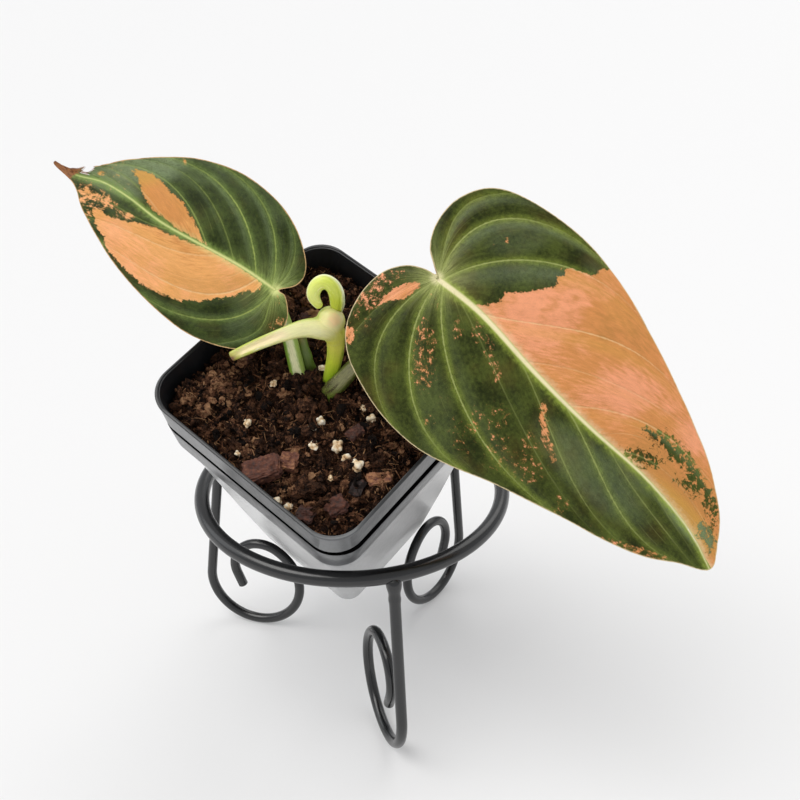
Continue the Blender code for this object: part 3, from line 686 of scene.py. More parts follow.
# Each vein: how plain it is, where it leaves the midrib, two points it bends through, its place on the margin
RIGHT_VEINS = (
    ((0.0, 0.0, (-0.5, 0.2), (-1.1, 0.4), 0.0), (0.0, 0.0, (-4.0, 3.0), (-8.5, 5.5), 2.6),
     (0.75, 0.0, (-9.9, 13.6), (-18.4, 22.8), 6.9), (1.0, 0.2, (-14.2, 26.9), (9.1, 43.1), 10.1),
     (1.0, 0.8, (6.4, 23.9), (30.2, 43.0), 11.7), (0.9, 17.3, (37.8, 15.4), (49.6, 34.2), 13.25),
     (0.35, 37.8, (53.9, 17.0), (70.9, 22.2), 14.25), (0.75, 57.0, (73.0, 18.5), (86.9, 22.0), 16.12),
     (0.2, 77.5, (90.4, 15.5), (107.9, 11.5), 18.0), (0.2, 98.0, (106.8, 9.6), (116.4, 6.9), 18.38)),
    ((0.0, 0.0, (-0.5, 0.2), (-1.1, 0.4), 38.0), (0.0, 0.0, (-4.5, -1.4), (-9.5, -4.6), 35.4),
     (0.3, 0.0, (-8.1, -10.2), (-7.5, -22.9), 31.38), (0.75, 0.0, (-5.7, -20.9), (2.5, -39.0), 28.0),
     (1.0, 0.3, (3.7, -23.0), (26.5, -42.0), 25.62), (1.0, 1.9, (20.3, -22.0), (51.0, -29.5), 23.38),
     (0.2, 6.7, (36.5, -6.8), (61.9, -19.1), 22.25), (0.45, 33.0, (57.9, -4.0), (78.4, -20.0), 21.25),
     (0.8, 54.1, (76.2, -0.8), (93.7, -14.4), 20.12), (0.35, 73.3, (90.1, -1.2), (106.9, -1.0), 19.5),
     (0.2, 92.9, (103.0, 1.8), (115.0, 2.0), 19.25)),
)
RIGHT_POSE = ((37.0, 14.7, 37.7), 29.1, -46.9, -4.0)
RIGHT_FORM = (400.0, 150.0, 1.5, 8.0)
RIGHT_SUN = ((
    (13.4, 0.5), (13.4, 2.5), (15.4, 4.1), (17.0, 6.1), (18.4, 8.8), (18.2, 11.3), (17.5, 12.2),
    (20.5, 15.4), (23.5, 19.6), (26.1, 23.5), (27.1, 25.5), (25.1, 27.8), (26.6, 30.1), (26.2, 31.1),
    (23.9, 31.0), (26.3, 33.4), (29.4, 35.2), (32.2, 36.8), (32.9, 38.5), (32.4, 39.6), (34.3, 42.1),
    (37.8, 48.7), (76.9, 40.8), (118.4, 22.4), (136.5, 5.4), (131.0, -1.0), (119.5, 2.3), (107.9, 2.9),
    (93.5, 2.7), (79.4, 1.4), (66.7, 0.2), (54.5, 0.0), (43.7, -0.4),
    (28.6, -0.1)),)
RIGHT_GREEN_ISLES = (
    ((78.7, 4.7), (80.4, 7.2), (82.6, 9.9), (85.7, 11.7), (88.8, 11.9), (90.3, 12.9), (90.1, 10.7),
     (88.0, 8.5), (85.6, 6.6), (82.9, 5.0), (80.5, 4.2)),
    ((78.3, 15.6), (81.0, 17.2), (84.0, 19.2), (87.1, 20.0), (90.5, 20.5), (94.2, 20.8), (97.0, 20.0),
     (100.2, 19.6), (103.9, 18.6), (106.8, 17.3), (105.6, 15.3), (105.0, 12.8), (101.5, 12.9), (98.7, 11.8),
     (97.2, 12.1), (99.3, 13.7), (100.9, 14.7), (97.4, 16.7), (93.6, 16.4), (91.5, 14.8), (89.3, 15.6),
     (86.2, 16.0), (82.0, 15.1)),
    ((106.5, 16.3), (107.4, 18.5), (110.9, 17.2), (114.5, 15.9), (117.0, 13.5), (115.9, 12.3),
     (112.0, 13.3), (108.4, 14.6)),
    ((113.5, 6.0), (114.3, 8.8), (117.5, 10.9), (121.8, 8.4), (123.3, 4.8), (119.0, 6.7), (115.8, 5.3)),
)
RIGHT_LOBE_SUN = (((-3.2, -5.1), (-6.1, -8.1), (-7.5, -12.6), (-7.9, -16.2), (-7.0, -19.3), (-5.9, -15.9),
                   (-4.3, -14.4), (-2.6, -11.4), (-2.4, -9.2), (-2.2, -5.9)),)
# Speckles: middle, half length, half width, direction and how thickly they lie
RIGHT_SPECKS = (
    (11.3, -16.3, 7.6, 3.8, 137, 0.62), (17.7, -22.9, 6.7, 4.2, 137, 0.62), (4.4, -6.4, 4.2, 2.1, 137, 0.4),
    (30.5, -32.6, 2.5, 2.5, 0, 0.5), (15.8, -6.7, 5.9, 2.1, 137, 0.5), (20.1, -2.0, 5.1, 2.1, 137, 0.55),
    (27.6, -3.9, 5.1, 2.1, 137, 0.6), (34.2, -6.7, 3.4, 1.7, 137, 0.7), (27.6, -23.5, 4.2, 3.4, 46, 0.3),
    (41.5, -28.4, 7.6, 5.1, 137, 0.42), (40.0, -21.3, 5.0, 2.1, 137, 0.55), (44.6, -16.4, 5.9, 4.2, 137, 0.48),
    (57.7, -14.7, 5.1, 3.4, 138, 0.52), (63.2, -19.8, 5.9, 5.1, 45, 0.55), (50.4, -28.6, 6.7, 3.4, 47, 0.35),
    (57.9, -21.8, 5.1, 4.2, 46, 0.4), (53.8, -5.3, 5.0, 1.3, 137, 1.0), (58.6, -8.7, 4.2, 1.5, 137, 0.9),
    (64.4, -11.2, 4.2, 1.2, 138, 0.75), (77.8, -20.5, 3.5, 3.4, 0, 0.55), (90.0, -18.8, 5.2, 2.6, 46, 0.35),
    (-10.5, -19.2, 5.2, 4.3, 40, 0.68), (-10.7, -9.7, 6.0, 2.6, 45, 0.55), (-8.0, -26.4, 4.3, 3.4, 42, 0.45),
    (-13.2, -14.3, 4.4, 3.6, 0, 0.68), (-7.0, -32.4, 3.0, 1.8, 138, 1.1), (5.6, 24.4, 1.2, 1.0, 120, 0.9),
    (4.0, 19.5, 2.5, 0.9, 47, 0.4), (106.0, -12.4, 15.0, 1.7, 29, 0.7), (-12.5, -22.0, 5.0, 2.0, 108, 0.7),
    (52.0, -23.0, 7.0, 5.0, 137, 0.5), (112.0, 14.0, 4.0, 2.0, -40, 0.4),
)
# Where the peach is pinker or browner: middle, reach and how much
RIGHT_BLUSH = ((34.0, 27.0, 10.0, 0.55), (26.0, 9.0, 8.0, 0.6), (41.0, 12.0, 10.0, 0.1),
               (70.0, 20.0, 6.0, 0.75), (64.0, 14.0, 7.0, 0.45), (100.0, 24.0, 6.0, 0.5),
               (-8.0, -16.0, 9.0, 0.5), (84.0, 8.0, 14.0, -0.45), (104.0, 8.0, 12.0, -0.7),
               (45.0, 28.5, 6.5, -0.55), (54.0, 33.0, 4.5, -0.4), (90.0, 27.0, 6.0, 0.9))
# Painted sheen, where the nap catches the light and looks silvery: middle, half length, half width, direction,
# amount
RIGHT_PAINTED_SHEEN = ((8.0, 28.0, 10.0, 5.0, 60, 0.2), (40.0, 36.5, 12.0, 4.0, -12, 0.2),
                (30.0, -30.0, 16.0, 6.0, -35, 0.12), (110.0, 6.5, 15.0, 3.6, -2, 0.9),
                (78.0, -6.0, 20.0, 7.0, 4, 0.35), (86.0, 2.0, 10.0, 3.0, 8, 0.3))
BLADE_ROWS, BLADE_CELL, BLADE_DEEPEST = 84, 0.85, 2.0
# How strongly each half paints a sheen just past each vein, where the quilted blade tilts to the light
LEE_PAINTED_SHEEN = (0.45, 0.12)
LEAF_INKS = ("Green", "Deep", "Peach", "Pink", "Tan", "Line", "Rib", "Halo", "Rim")


def rgb(red, green, blue):
    """A colour given as it looks on a screen, 0 to 255, in the values that a shader takes."""
    shares = (c / 255 for c in (red, green, blue))
    return (*(((c + 0.055) / 1.055) ** 2.4 if c > 10 / 255 else c / 12.92 for c in shares), 1.0)


def smooth_line(points, steps, closed=False):
    """Points on a smooth line through the given ones."""
    points = np.array(points, float)
    count, t, out = len(points), np.linspace(0, 1, steps, endpoint=False)[:, None], []
    for i in range(count if closed else count - 1):
        near = (i - 1, i, i + 1, i + 2)
        a, b, c, d = (points[k % count if closed else min(max(k, 0), count - 1)] for k in near)
        out.append(0.5 * (2 * b + (c - a) * t + (2 * a - 5 * b + 4 * c - d) * t ** 2
                          + (3 * b - a - 3 * c + d) * t ** 3))
    return np.vstack(out + [points[:1] if closed else points[-1:]])


def distance_to(points, line):
    """Each point's distance to the nearest stretch of a line."""
    nearest = np.full(len(points), 1e9)
    for a, way in zip(line[:-1], np.diff(line, axis=0)):
        share = np.clip((points - a) @ way / max(way @ way, 1e-12), 0, 1)[:, None]
        nearest = np.minimum(nearest, ((points - a - share * way) ** 2).sum(1))
    return np.sqrt(nearest)


def depth_inside(points, outlines):
    """How far inside the nearest of some closed outlines each point lies; negative outside them all."""
    deepest = np.full(len(points), -1e3)
    for outline in outlines:
        line, (x, y) = np.array(outline + outline[:1]), points.T
        inside = np.zeros(len(points), bool)
        for (x0, y0), (x1, y1) in zip(line[:-1], line[1:]):
            if y0 != y1:
                inside ^= ((y0 > y) != (y1 > y)) & (x < (x1 - x0) * (y - y0) / (y1 - y0) + x0)
        deepest = np.maximum(deepest, np.where(inside, 1, -1) * distance_to(points, line))
    return deepest


def spots(points, patches):
    """Soft round or long patches laid over each other, by middle, half length, half width, turn and amount."""
    total = np.zeros(len(points))
    for x, y, length, width, degrees, amount in patches:
        c, s = math.cos(math.radians(degrees)), math.sin(math.radians(degrees))
        u, v = (points - (x, y)) @ (c, s) / length, (points - (x, y)) @ (-s, c) / width
        total = np.maximum(total, amount * np.clip(1.35 - np.sqrt(u * u + v * v), 0, 0.6) / 0.6)
    return total


def fan(margin, midrib, veins, tip):
    """Half a blade as rows from the midrib to the margin and columns that follow the veins, with its marks."""
    rim, rib = smooth_line(margin, 8, True), smooth_line(midrib, 8)
    walk = np.concatenate([[0], np.cumsum(np.linalg.norm(np.diff(rim, axis=0), axis=1))])
    rim_at = lambda place: np.array([np.interp(place * 8, range(len(rim)), rim[:, k]) for k in (0, 1)]).T
    rib_at = lambda along: np.array([along, np.interp(along, rib[:, 0], rib[:, 1])]).T
    w, fine = np.linspace(0, 1, BLADE_ROWS + 1), np.linspace(0, 1, 240)[:, None]
    curves, starts, stops, strengths = [], [], [], []
    to_tip = (0.0, midrib[-1][0], midrib[-1], midrib[-1], float(tip))
    for strength, start, bend_a, bend_b, stop in veins + (to_tip,):
        a, d = rib_at(start), rim_at(stop)
        line = (a * (1 - fine) ** 3 + np.array(bend_a) * 3 * (1 - fine) ** 2 * fine
                + np.array(bend_b) * 3 * (1 - fine) * fine ** 2 + d * fine ** 3)
        gone = np.concatenate([[0], np.cumsum(np.linalg.norm(np.diff(line, axis=0), axis=1))])
        at = w * gone[-1]
        curves.append(np.array([np.interp(at, gone, line[:, k]) for k in (0, 1)]).T)
        starts.append(start)
        stops.append(stop)
        strengths.append(strength)
    passed = np.interp(np.array(stops) * 8, range(len(rim)), walk)
    reach = np.abs(passed - passed[0])
    curves, last = np.array(curves), len(curves) - 1
    slopes = []
    for i in range(last + 1):
        lower, upper = max(i - 1, 0), min(i + 1, last)
        before, after = max(reach[i] - reach[lower], 1e-6), max(reach[upper] - reach[i], 1e-6)
        back, ahead = (curves[i] - curves[lower]) / before, (curves[upper] - curves[i]) / after
        both = (back * after + ahead * before) / (before + after)
        slopes.append(ahead if i == 0 else back if i == last else both)
    columns, marks = [], []
    for i in range(last):
        width = reach[i + 1] - reach[i]
        cells = max(4, round(width / BLADE_CELL))
        for step in range(cells + (i == last - 1)):
            t = step / cells
            line = ((2 * t ** 3 - 3 * t ** 2 + 1) * curves[i] + (t ** 3 - 2 * t ** 2 + t) * width * slopes[i]
                    + (3 * t ** 2 - 2 * t ** 3) * curves[i + 1] + (t ** 3 - t ** 2) * width * slopes[i + 1])
            line += (w ** 2)[:, None] * (rim_at(stops[i] + (stops[i + 1] - stops[i]) * t) - line[-1])
            line += ((1 - w) ** 2)[:, None] * (rib_at(starts[i] + (starts[i + 1] - starts[i]) * t) - line[0])
            spacing = np.linalg.norm(curves[i + 1] - curves[i], axis=1)
            near = [distance_to(line, curves[k]) if strengths[k] else np.full(len(w), 40.0) for k in (i, i + 1)]
            side = (near[0] > near[1]).astype(int)
            strength = np.array([strengths[i], strengths[i + 1]])[side]
            along = w * np.linalg.norm(np.diff(line, axis=0), axis=1).sum()
            # A painted sheen just past each vein, on the slope of the quilting that faces the light
            painted_lee_sheen = strengths[i] * math.exp(-((t - 0.2) / 0.17) ** 2) * np.sin(math.pi * w) ** 0.6
            marks.append(np.array([np.minimum(*near), strength, np.abs((3 * t + 0.5) % 1 - 0.5) * spacing / 3,
                                   np.full(len(w), (i + t) * 10.0), along, 4 * t * (1 - t) * w, painted_lee_sheen]).T)
            columns.append(line)
    return np.array(columns), np.array(marks)


def blade_lift(flat, form):
    """How far the blade rises off its plane: it arches along, rolls off across and dips at the midrib."""
    arch, cross, valley, width = form
    along, across = flat.T
    return (-along ** 2 / (2 * np.where(along > 0, arch, 60.0)) - across ** 2 / (2 * cross)
            + valley * (1 - np.exp(-np.abs(across) / width)) * np.clip(along / 30.0, 0, 1))


def grid_piece(columns, rows):
    """A flat grid still to be shaped, with the column and the row of each of its points."""
    piece = added(bpy.ops.mesh.primitive_grid_add, x_subdivisions=columns, y_subdivisions=rows, size=2.0)
    own = np.array([vert.co[:2] for vert in piece.data.vertices])
    column, row = np.rint((own + 1) / 2 * (columns, rows)).astype(int).T
    return piece, column, row


def joined(pieces):
    """Joins pieces into the first of them."""
    pick_alone(pieces[0])
    for piece in pieces:
        piece.select_set(True)
    bpy.ops.object.join()
    return pieces[0]


def leaf_blade(margin, midrib, veins, tip, pose, form, sun, isles, specks, blush, silver, thick, rib_wide,
               burn=(), bites=()):
    """A leaf from two halves joined at the midrib, thicker under its ribs; its marks ride on the mesh."""
    at, lean, heading, pitch = pose
    place = (pot_frame @ Matrix.Translation(Vector(at) * MM) @ Matrix.Rotation(math.radians(lean), 4, "X")
             @ Matrix.Rotation(math.radians(heading), 4, "Z") @ Matrix.Rotation(math.radians(pitch), 4, "Y"))
    turn_by, shift = np.array(place.to_3x3()), np.array(place.translation)
    rim, rib = smooth_line(margin, 8, True), smooth_line(midrib, 8)
    halves = []
    for half_veins, half_sun, lit in zip(veins, sun, LEE_PAINTED_SHEEN):
        columns, marks = fan(margin, midrib, half_veins, tip)
        half, column, row = grid_piece(len(columns) - 1, BLADE_ROWS)
        flat = columns[column, row]
        vein, strength, minor, lateral, along, belly, painted_lee_sheen = marks[column, row].T
        edge, to_rib, gone = distance_to(flat, rim), distance_to(flat, rib), flat[:, 0] / midrib[-1][0]
        fade = np.clip(edge / 4.0, 0, 1) * np.clip(to_rib / 3.0, 0, 1)
        lift = blade_lift(flat, form)
        lift += 0.95 * (1 - np.exp(-(vein / 3.2) ** 2) - 0.6) * fade * np.maximum(strength, 0.4)
        lift -= 0.45 * np.exp(-(to_rib / 1.3) ** 2) * np.clip(1.2 - gone, 0.2, 1)
        lift += 0.5 * (belly - 0.3) * np.exp(-(edge / 6.0) ** 2)
        points = np.column_stack([flat, lift]) * MM @ turn_by.T + shift
        half.data.vertices.foreach_set("co", points.ravel())
        tint = np.zeros(len(flat))
        for x, y, wide, amount in blush:
            tint += amount * np.exp(-((flat - (x, y)) ** 2).sum(1) / (2 * wide ** 2))
        rib_half = rib_wide * np.clip(1 - gone * 0.75, 0.2, 1.2) * np.where(gone < 0, 0.5, 1.0)
        over_rib = np.exp(-(to_rib / 1.3) ** 2) * np.clip(1.1 - gone, 0.1, 1)
        over_vein = np.exp(-(vein / 0.6) ** 2) * strength * np.clip(edge / 8, 0, 1)
        depth = thick * (0.5 + 1.1 * over_rib + 0.3 * over_vein) * np.clip(0.45 + edge / 3.0, 0.45, 1)
        lay_marks(half, vein=vein, strength=strength, minor=minor, rib=to_rib - rib_half, edge=edge,
                  sun=np.clip(depth_inside(flat, half_sun), -20, 20),
                  isle=np.clip(depth_inside(flat, isles), -20, 20), speck=spots(flat, specks), blush=tint,
                  # The painted sheen: the patches given, and the lee of each vein
                  silver=np.maximum(spots(flat, silver), painted_lee_sheen * lit),
                  scorch=np.exp(-np.maximum(-depth_inside(flat, burn), 0) / 0.7),
                  star=np.exp(-(np.linalg.norm(flat + (0.5, 0.0), axis=1) / 5.4) ** 1.3),
                  depth=np.clip(depth, 0.15, BLADE_DEEPEST) / BLADE_DEEPEST,
                  grain=np.column_stack([lateral, along, np.zeros(len(along))]),
                  flat=np.column_stack([flat, np.zeros(len(flat))]))
        if bites:
            into_edit(half)
            bpy.ops.mesh.select_all(action="DESELECT")
            shape = bmesh.from_edit_mesh(half.data)
            for vert, eaten in zip(shape.verts, depth_inside(flat, bites) > 0):
                vert.select = bool(eaten)
            shape.select_flush(True)
            bpy.ops.mesh.delete(type="VERT")
            bpy.ops.object.mode_set(mode="OBJECT")
        halves.append(half)
    leaf = joined(halves)
    into_edit(leaf)
    bpy.ops.mesh.remove_doubles(threshold=0.00002)
    bpy.ops.mesh.dissolve_degenerate(threshold=0.00001)
    turn_outwards()
    upwards = place.to_3x3() @ Vector((0.0, 0.0, 1.0))
    if sum(face.normal.dot(upwards) for face in leaf.data.polygons) < 0:
        leaf.data.flip_normals()
    group = leaf.vertex_groups.new(name="depth")
    for index, weight in enumerate(read_marks(leaf, "depth")["depth"]):
        group.add((index,), float(weight[0]), "REPLACE")
    solid = leaf.modifiers.new("thickness", "SOLIDIFY")
    solid.thickness, solid.offset, solid.vertex_group = BLADE_DEEPEST * MM, -1.0, "depth"
    solid.material_offset = 1
    return leaf


def read_marks(piece, *keys):
    """The values that lie on a mesh, one row for each of its points."""
    found = {}
    for key in keys:
        layer = piece.data.attributes[key]
        wide, field = (3, "vector") if layer.data_type == "FLOAT_VECTOR" else (1, "value")
        values = np.zeros(len(layer.data) * wide, np.float32)
        layer.data.foreach_get(field, values)
        found[key] = values.reshape(-1, wide)
    return found


def leaf_marks_group():
    """Colour, roughness and height of a variegated blade from the marks on its mesh."""
    skin = Effect("leaf_marks", {**dict.fromkeys(LEAF_INKS, "Color"), "Bloom": "Float"},
                  {"Color": "Color", "Roughness": "Float", "Height": "Float"})
    step, blend = skin.step, skin.blend
    green, deep, peach, pink, tan, line, cream, pale, brim, bloom = skin.given(*LEAF_INKS, "Bloom")
    flat, along_vein = skin.mark("flat", "Vector"), skin.mark("grain", "Vector")
    vein, strength, minor, rib, edge, sun = map(skin.mark, ("vein", "strength", "minor", "rib", "edge", "sun"))
    isle, speck, blush, scorch = map(skin.mark, ("isle", "speck", "blush", "scorch"))
    star, silver = skin.mark("star"), skin.mark("silver")
    cloud, mottle = skin.noise(flat, 0.09, 3.0), skin.noise(flat, 0.8, 5.0, 0.6)
    velvet, clump = skin.noise(flat, 4.5, 3.0, 0.7), skin.noise(flat, 0.55, 6.0, 0.7)
    pin = skin.noise(flat, 2.6, 2.0, 0.6)
    warmth = skin.add("ShaderNodeTexNoise", {"noise_dimensions": "4D"}, "Fac", Vector=flat, W=3.0, Scale=0.06,
                      Detail=3.0)
    streak = skin.noise(skin.stretched(along_vein, (1.3, 0.24, 1.0)), 1.0, 4.0, 0.62)
    fleck = skin.noise(skin.stretched(along_vein, (2.6, 1.2, 1.0)), 1.0, 5.0, 0.7)

    # Where the blade is peach: sectors with crumbled edges, less the green isles, and the speckles
    sunny = step((fleck - 0.5) * 2.4 + (clump - 0.5) * 3.6 + (streak - 0.5) * 0.8 + sun, -0.08, 0.1)
    island = (fleck - 0.5) * 6.0 + (clump - 0.5) * 14.0 + isle.math("MINIMUM", 0.9)
    sunny = sunny * step(island, -0.1, 0.1, 1.0, 0.0)
    rise = streak * 0.22 + fleck * 0.3 + clump * 0.66 - (speck * -0.26 + 0.8)
    specks = step(rise, 0.0, 0.022) * step(speck, 0.02, 0.12)
    halfway = step(rise, -0.05, 0.0, 0.0, 0.35) * step(speck, 0.02, 0.2)
    peachy = sunny.math("MAXIMUM", specks.math("MAXIMUM", halfway))

    # Green: dark between the veins, a silvery painted sheen where the nap is lit, lime along the veins and the
    # midrib
    dapple = clump * 0.5 + velvet * 0.5
    halo = step((dapple - 0.5) * 9.0 + rib, -0.4, 2.8, 1.0, 0.0) ** 1.6
    glow = step(vein, 0.0, 3.2, 1.0, 0.0) ** 2.0 * strength
    green = blend(step(mottle * 0.5 + cloud * 0.7, 0.42, 0.78), deep, green)
    green = blend(step(warmth, 0.48, 0.68, 0.0, 0.4), green, rgb(86, 70, 26))
    # The painted sheen, grey-green where the nap catches the light
    green = blend(silver * step(dapple, 0.3, 0.6, 0.3, 0.8), green, rgb(134, 150, 112))
    green = blend(glow * step(dapple, 0.35, 0.6, 0.05, 0.4), green, pale)
    green = blend(halo * 0.7, green, pale)
    green = blend(star * step(streak, 0.35, 0.65, 0.6, 1.0), green, blend(0.3, pale, cream))

    # Peach: pinker and browner blotches, and a gold painted sheen
    blotch = (cloud - 0.5) * 1.5 + blush + ((streak - 0.5) * 1.3 + specks * 0.45)
    peach = blend(step(blotch, -0.05, 0.75), peach, pink)
    peach = blend(step(blotch, -0.7, -0.1, 1.0, 0.0), peach, tan)
    peach = blend(silver, peach, rgb(204, 152, 74))
    peach = blend(halo * 0.4, peach, cream)

    # Both with pale pin pricks and grit, then veins, midrib, margin, scorched edge and bloom over them
    colour = blend(peachy, green, peach)
    pricks = step(pin, 0.66, 0.73, 0.0, 0.4) * step(clump, 0.42, 0.6)
    colour = blend(pricks, colour, blend(0.5, tan, line))
    grit = step(velvet * 0.7 + streak * 0.3, 0.34, 0.66, -0.34, 0.34)
    colour = skin.shaded(colour, grit * (peachy * -0.5 + 1.0) + 1.0)
    paler = blend(peachy, line, rgb(248, 214, 158))
    thread = mottle * 0.9 + (vein - 0.45)
    vein_line = step(thread, 0.06, 0.36, 1.0, 0.0) * strength
    vein_line = vein_line * step(edge, 0.5, 13.0, 0.22, 0.85) * (peachy * -0.45 + 1.0)
    minor_line = step(minor, 0.05, 0.35, 0.17, 0.0) * step(warmth, 0.45, 0.62)
    colour = blend(vein_line, blend(minor_line, colour, paler), paler)
    colour = blend(step(star, 0.62, 0.97, 0.0, 0.75), colour, cream)
    ribbed = step((mottle - 0.5) * 0.35 + rib, -0.25, 0.32, 1.0, 0.0)
    colour = blend(ribbed * 0.95, colour, blend(step(rib, -0.6, 0.1, 0.0, 0.7), cream, pale))
    colour = blend(step((mottle - 0.5) * 0.6 + edge, 0.08, 0.42, 0.9, 0.0), colour, brim)
    brown = blend(step(fleck, 0.4, 0.6), rgb(92, 52, 30), rgb(168, 112, 66))
    colour = blend(step((mottle - 0.5) * 0.9 + scorch, 0.25, 0.62), colour, brown)
    colour = blend(step(cloud, 0.35, 0.65) * bloom, colour, rgb(120, 138, 118))

    sunk = step(thread, 0.0, 0.8, 1.0, 0.0) * -0.55 + step(minor, 0.0, 0.5, 1.0, 0.0) * -0.22
    return skin.put_out(Color=colour, Roughness=step(mottle, 0.3, 0.7, 0.34, 0.5) + ribbed * -0.1,
                        Height=velvet * 0.22 + mottle * 0.5 + sunk + peachy * -0.12)


leaf_marks = leaf_marks_group()


def leaf_coat(name, bloom, sheen, **inks):
    """A velvety leaf skin; its bloom is the pale dusting, its sheen the light caught by the nap."""
    coat = Coat(name)
    colour = coat.add("ShaderNodeGroup", {"node_tree": leaf_marks}, "Color", Bloom=bloom, **inks)
    return coat.plug_in(colour, colour.also("Roughness"), colour.also("Height"), 0.55, 0.0004,
                        Specular_IOR_Level=0.13, Sheen_Weight=sheen, Sheen_Roughness=0.45)


right_top = leaf_coat("right_leaf_velvet", 0.0, 0.02, Green=rgb(74, 84, 32), Deep=rgb(34, 41, 8),
                      Peach=rgb(214, 144, 84), Pink=rgb(240, 162, 120), Tan=rgb(200, 138, 76),
                      Line=rgb(158, 166, 98), Rib=rgb(248, 236, 190), Halo=rgb(162, 180, 74),
                      Rim=rgb(224, 204, 160))
right_under = leaf_coat("right_leaf_underside", 0.1, 0.04, Green=rgb(128, 128, 90), Deep=rgb(104, 98, 72),
                        Peach=rgb(222, 168, 126), Pink=rgb(232, 178, 148), Tan=rgb(208, 156, 108),
                        Line=rgb(168, 170, 110), Rib=rgb(206, 200, 140), Halo=rgb(150, 158, 96),
                        Rim=rgb(200, 158, 118))
right_leaf = leaf_blade(RIGHT_MARGIN, RIGHT_MIDRIB, RIGHT_VEINS, 19, RIGHT_POSE, RIGHT_FORM,
                        (RIGHT_SUN, RIGHT_LOBE_SUN), RIGHT_GREEN_ISLES, RIGHT_SPECKS, RIGHT_BLUSH, RIGHT_PAINTED_SHEEN,
                        0.6, 1.0)
finish_piece(right_leaf, "right_leaf_blade", (right_top, right_under), "right_leaf", "right_leaf", smooth=60)

# Left leaf: the older, smaller blade, its inner half mostly peach. Something has torn its upper margin
# near the tip, which has dried to a brown curl.
LEFT_MARGIN = (
    (-1.4, -0.6), (-4.1, 0.1), (-7.3, 3.8), (-8.7, 7.6), (-8.2, 13.6), (-4.1, 19.9), (2.2, 24.1),
    (11.8, 26.8), (22.5, 27.2), (38.4, 24.1), (52.7, 19.1), (63.1, 13.8), (71.2, 9.0), (78.6, 3.2),
    (89.6, 0.0), (76.4, -4.6), (64.4, -14.0), (47.4, -24.1), (31.4, -28.1), (16.7, -26.8), (5.5, -22.1),
    (-2.8, -15.1), (-6.1, -9.4), (-5.4, -4.6),
)
LEFT_MIDRIB = ((0.0, 0.0), (15.1, -1.0), (42.7, -0.3), (58.2, -2.1), (69.5, -2.3), (79.6, 0.1), (89.6, 0.0))
LEFT_VEINS = (
    ((0.0, 0.0, (-0.5, -0.2), (-1.0, -0.4), 24.0), (0.0, 0.0, (-2.0, -3.5), (-4.0, -6.6), 22.2),
     (0.6, 0.2, (-3.5, -10.2), (1.0, -20.0), 19.25), (0.95, 1.3, (6.5, -18.2), (20.4, -28.5), 17.5),
     (1.0, 7.6, (17.9, -17.4), (34.3, -26.1), 16.62), (0.35, 16.2, (28.9, -14.8), (43.6, -23.3), 16.12),
     (0.55, 26.3, (39.0, -12.7), (54.4, -17.7), 15.5), (0.2, 40.9, (51.0, -4.9), (62.1, -10.0), 15.25),
     (0.2, 53.4, (60.8, -5.4), (68.5, -4.4), 15.0)),
    ((0.0, 0.0, (-0.5, -0.2), (-1.0, -0.4), 0.0), (0.0, 0.0, (-3.0, 2.2), (-6.0, 4.9), 3.0),
     (0.0, 0.0, (-4.5, 6.5), (-6.8, 13.0), 4.8), (0.6, 0.0, (-0.9, 11.4), (-8.0, 13.0), 6.7),
     (1.0, 0.4, (1.7, 18.8), (22.2, 25.4), 9.0), (1.0, 6.7, (15.9, 21.7), (41.3, 15.3), 10.62),
     (0.6, 21.6, (35.0, 10.1), (53.8, 5.4), 11.62), (0.3, 39.5, (51.1, 5.1), (65.8, 0.0), 12.62)),
)
LEFT_POSE = ((-16.6, 22.3, 21.3), 29.1, 149.7, -2.0)
LEFT_FORM = (260.0, 110.0, 1.2, 6.0)
LEFT_SUN = ((
    ((62.8, -10.8), (60.8, -11.7), (57.3, -12.7), (54.4, -12.6), (52.2, -12.7), (49.5, -11.7),
     (47.9, -10.9), (44.9, -10.1), (42.6, -10.4), (40.5, -9.4), (39.4, -7.9), (36.0, -7.1), (33.6, -5.4),
     (31.6, -3.8), (29.9, -2.7), (26.8, -1.4), (28.5, -1.3), (32.7, -1.3), (36.2, -1.3), (39.1, -1.4),
     (41.3, -1.6), (44.4, -2.1), (47.5, -2.5), (50.9, -3.3), (52.9, -4.3), (55.5, -5.6), (57.0, -7.6),
     (58.6, -8.8), (60.9, -9.7)), ), (
    ((4.5, 0.5), (4.7, 3.2), (6.1, 4.8), (7.3, 4.6), (8.5, 5.5), (9.9, 7.7), (12.1, 10.0), (14.0, 11.4),
     (16.4, 13.2), (18.9, 15.0), (19.6, 16.2), (22.5, 17.1), (24.7, 18.2), (25.5, 19.3), (27.1, 19.4),
     (30.6, 20.0), (34.6, 20.6), (37.2, 21.0), (40.1, 20.9), (41.9, 20.3), (45.1, 19.7), (47.5, 19.3),
     (50.2, 18.4), (53.6, 17.5), (56.4, 16.4), (58.3, 15.0), (59.1, 13.4), (61.6, 12.7), (63.2, 11.8),
     (64.5, 10.8), (65.6, 9.7), (67.4, 8.6), (67.8, 7.4), (64.7, 6.4), (61.5, 6.7), (58.1, 6.2),
     (55.6, 5.6), (51.2, 3.8), (47.8, 2.9), (44.6, 2.2), (41.2, 2.0), (37.4, 1.2), (34.7, 1.1), (31.3, 0.8),
     (28.4, -0.3), (24.1, -0.5), (18.4, -0.5), (13.8, -0.6), (7.4, -0.1)),
))
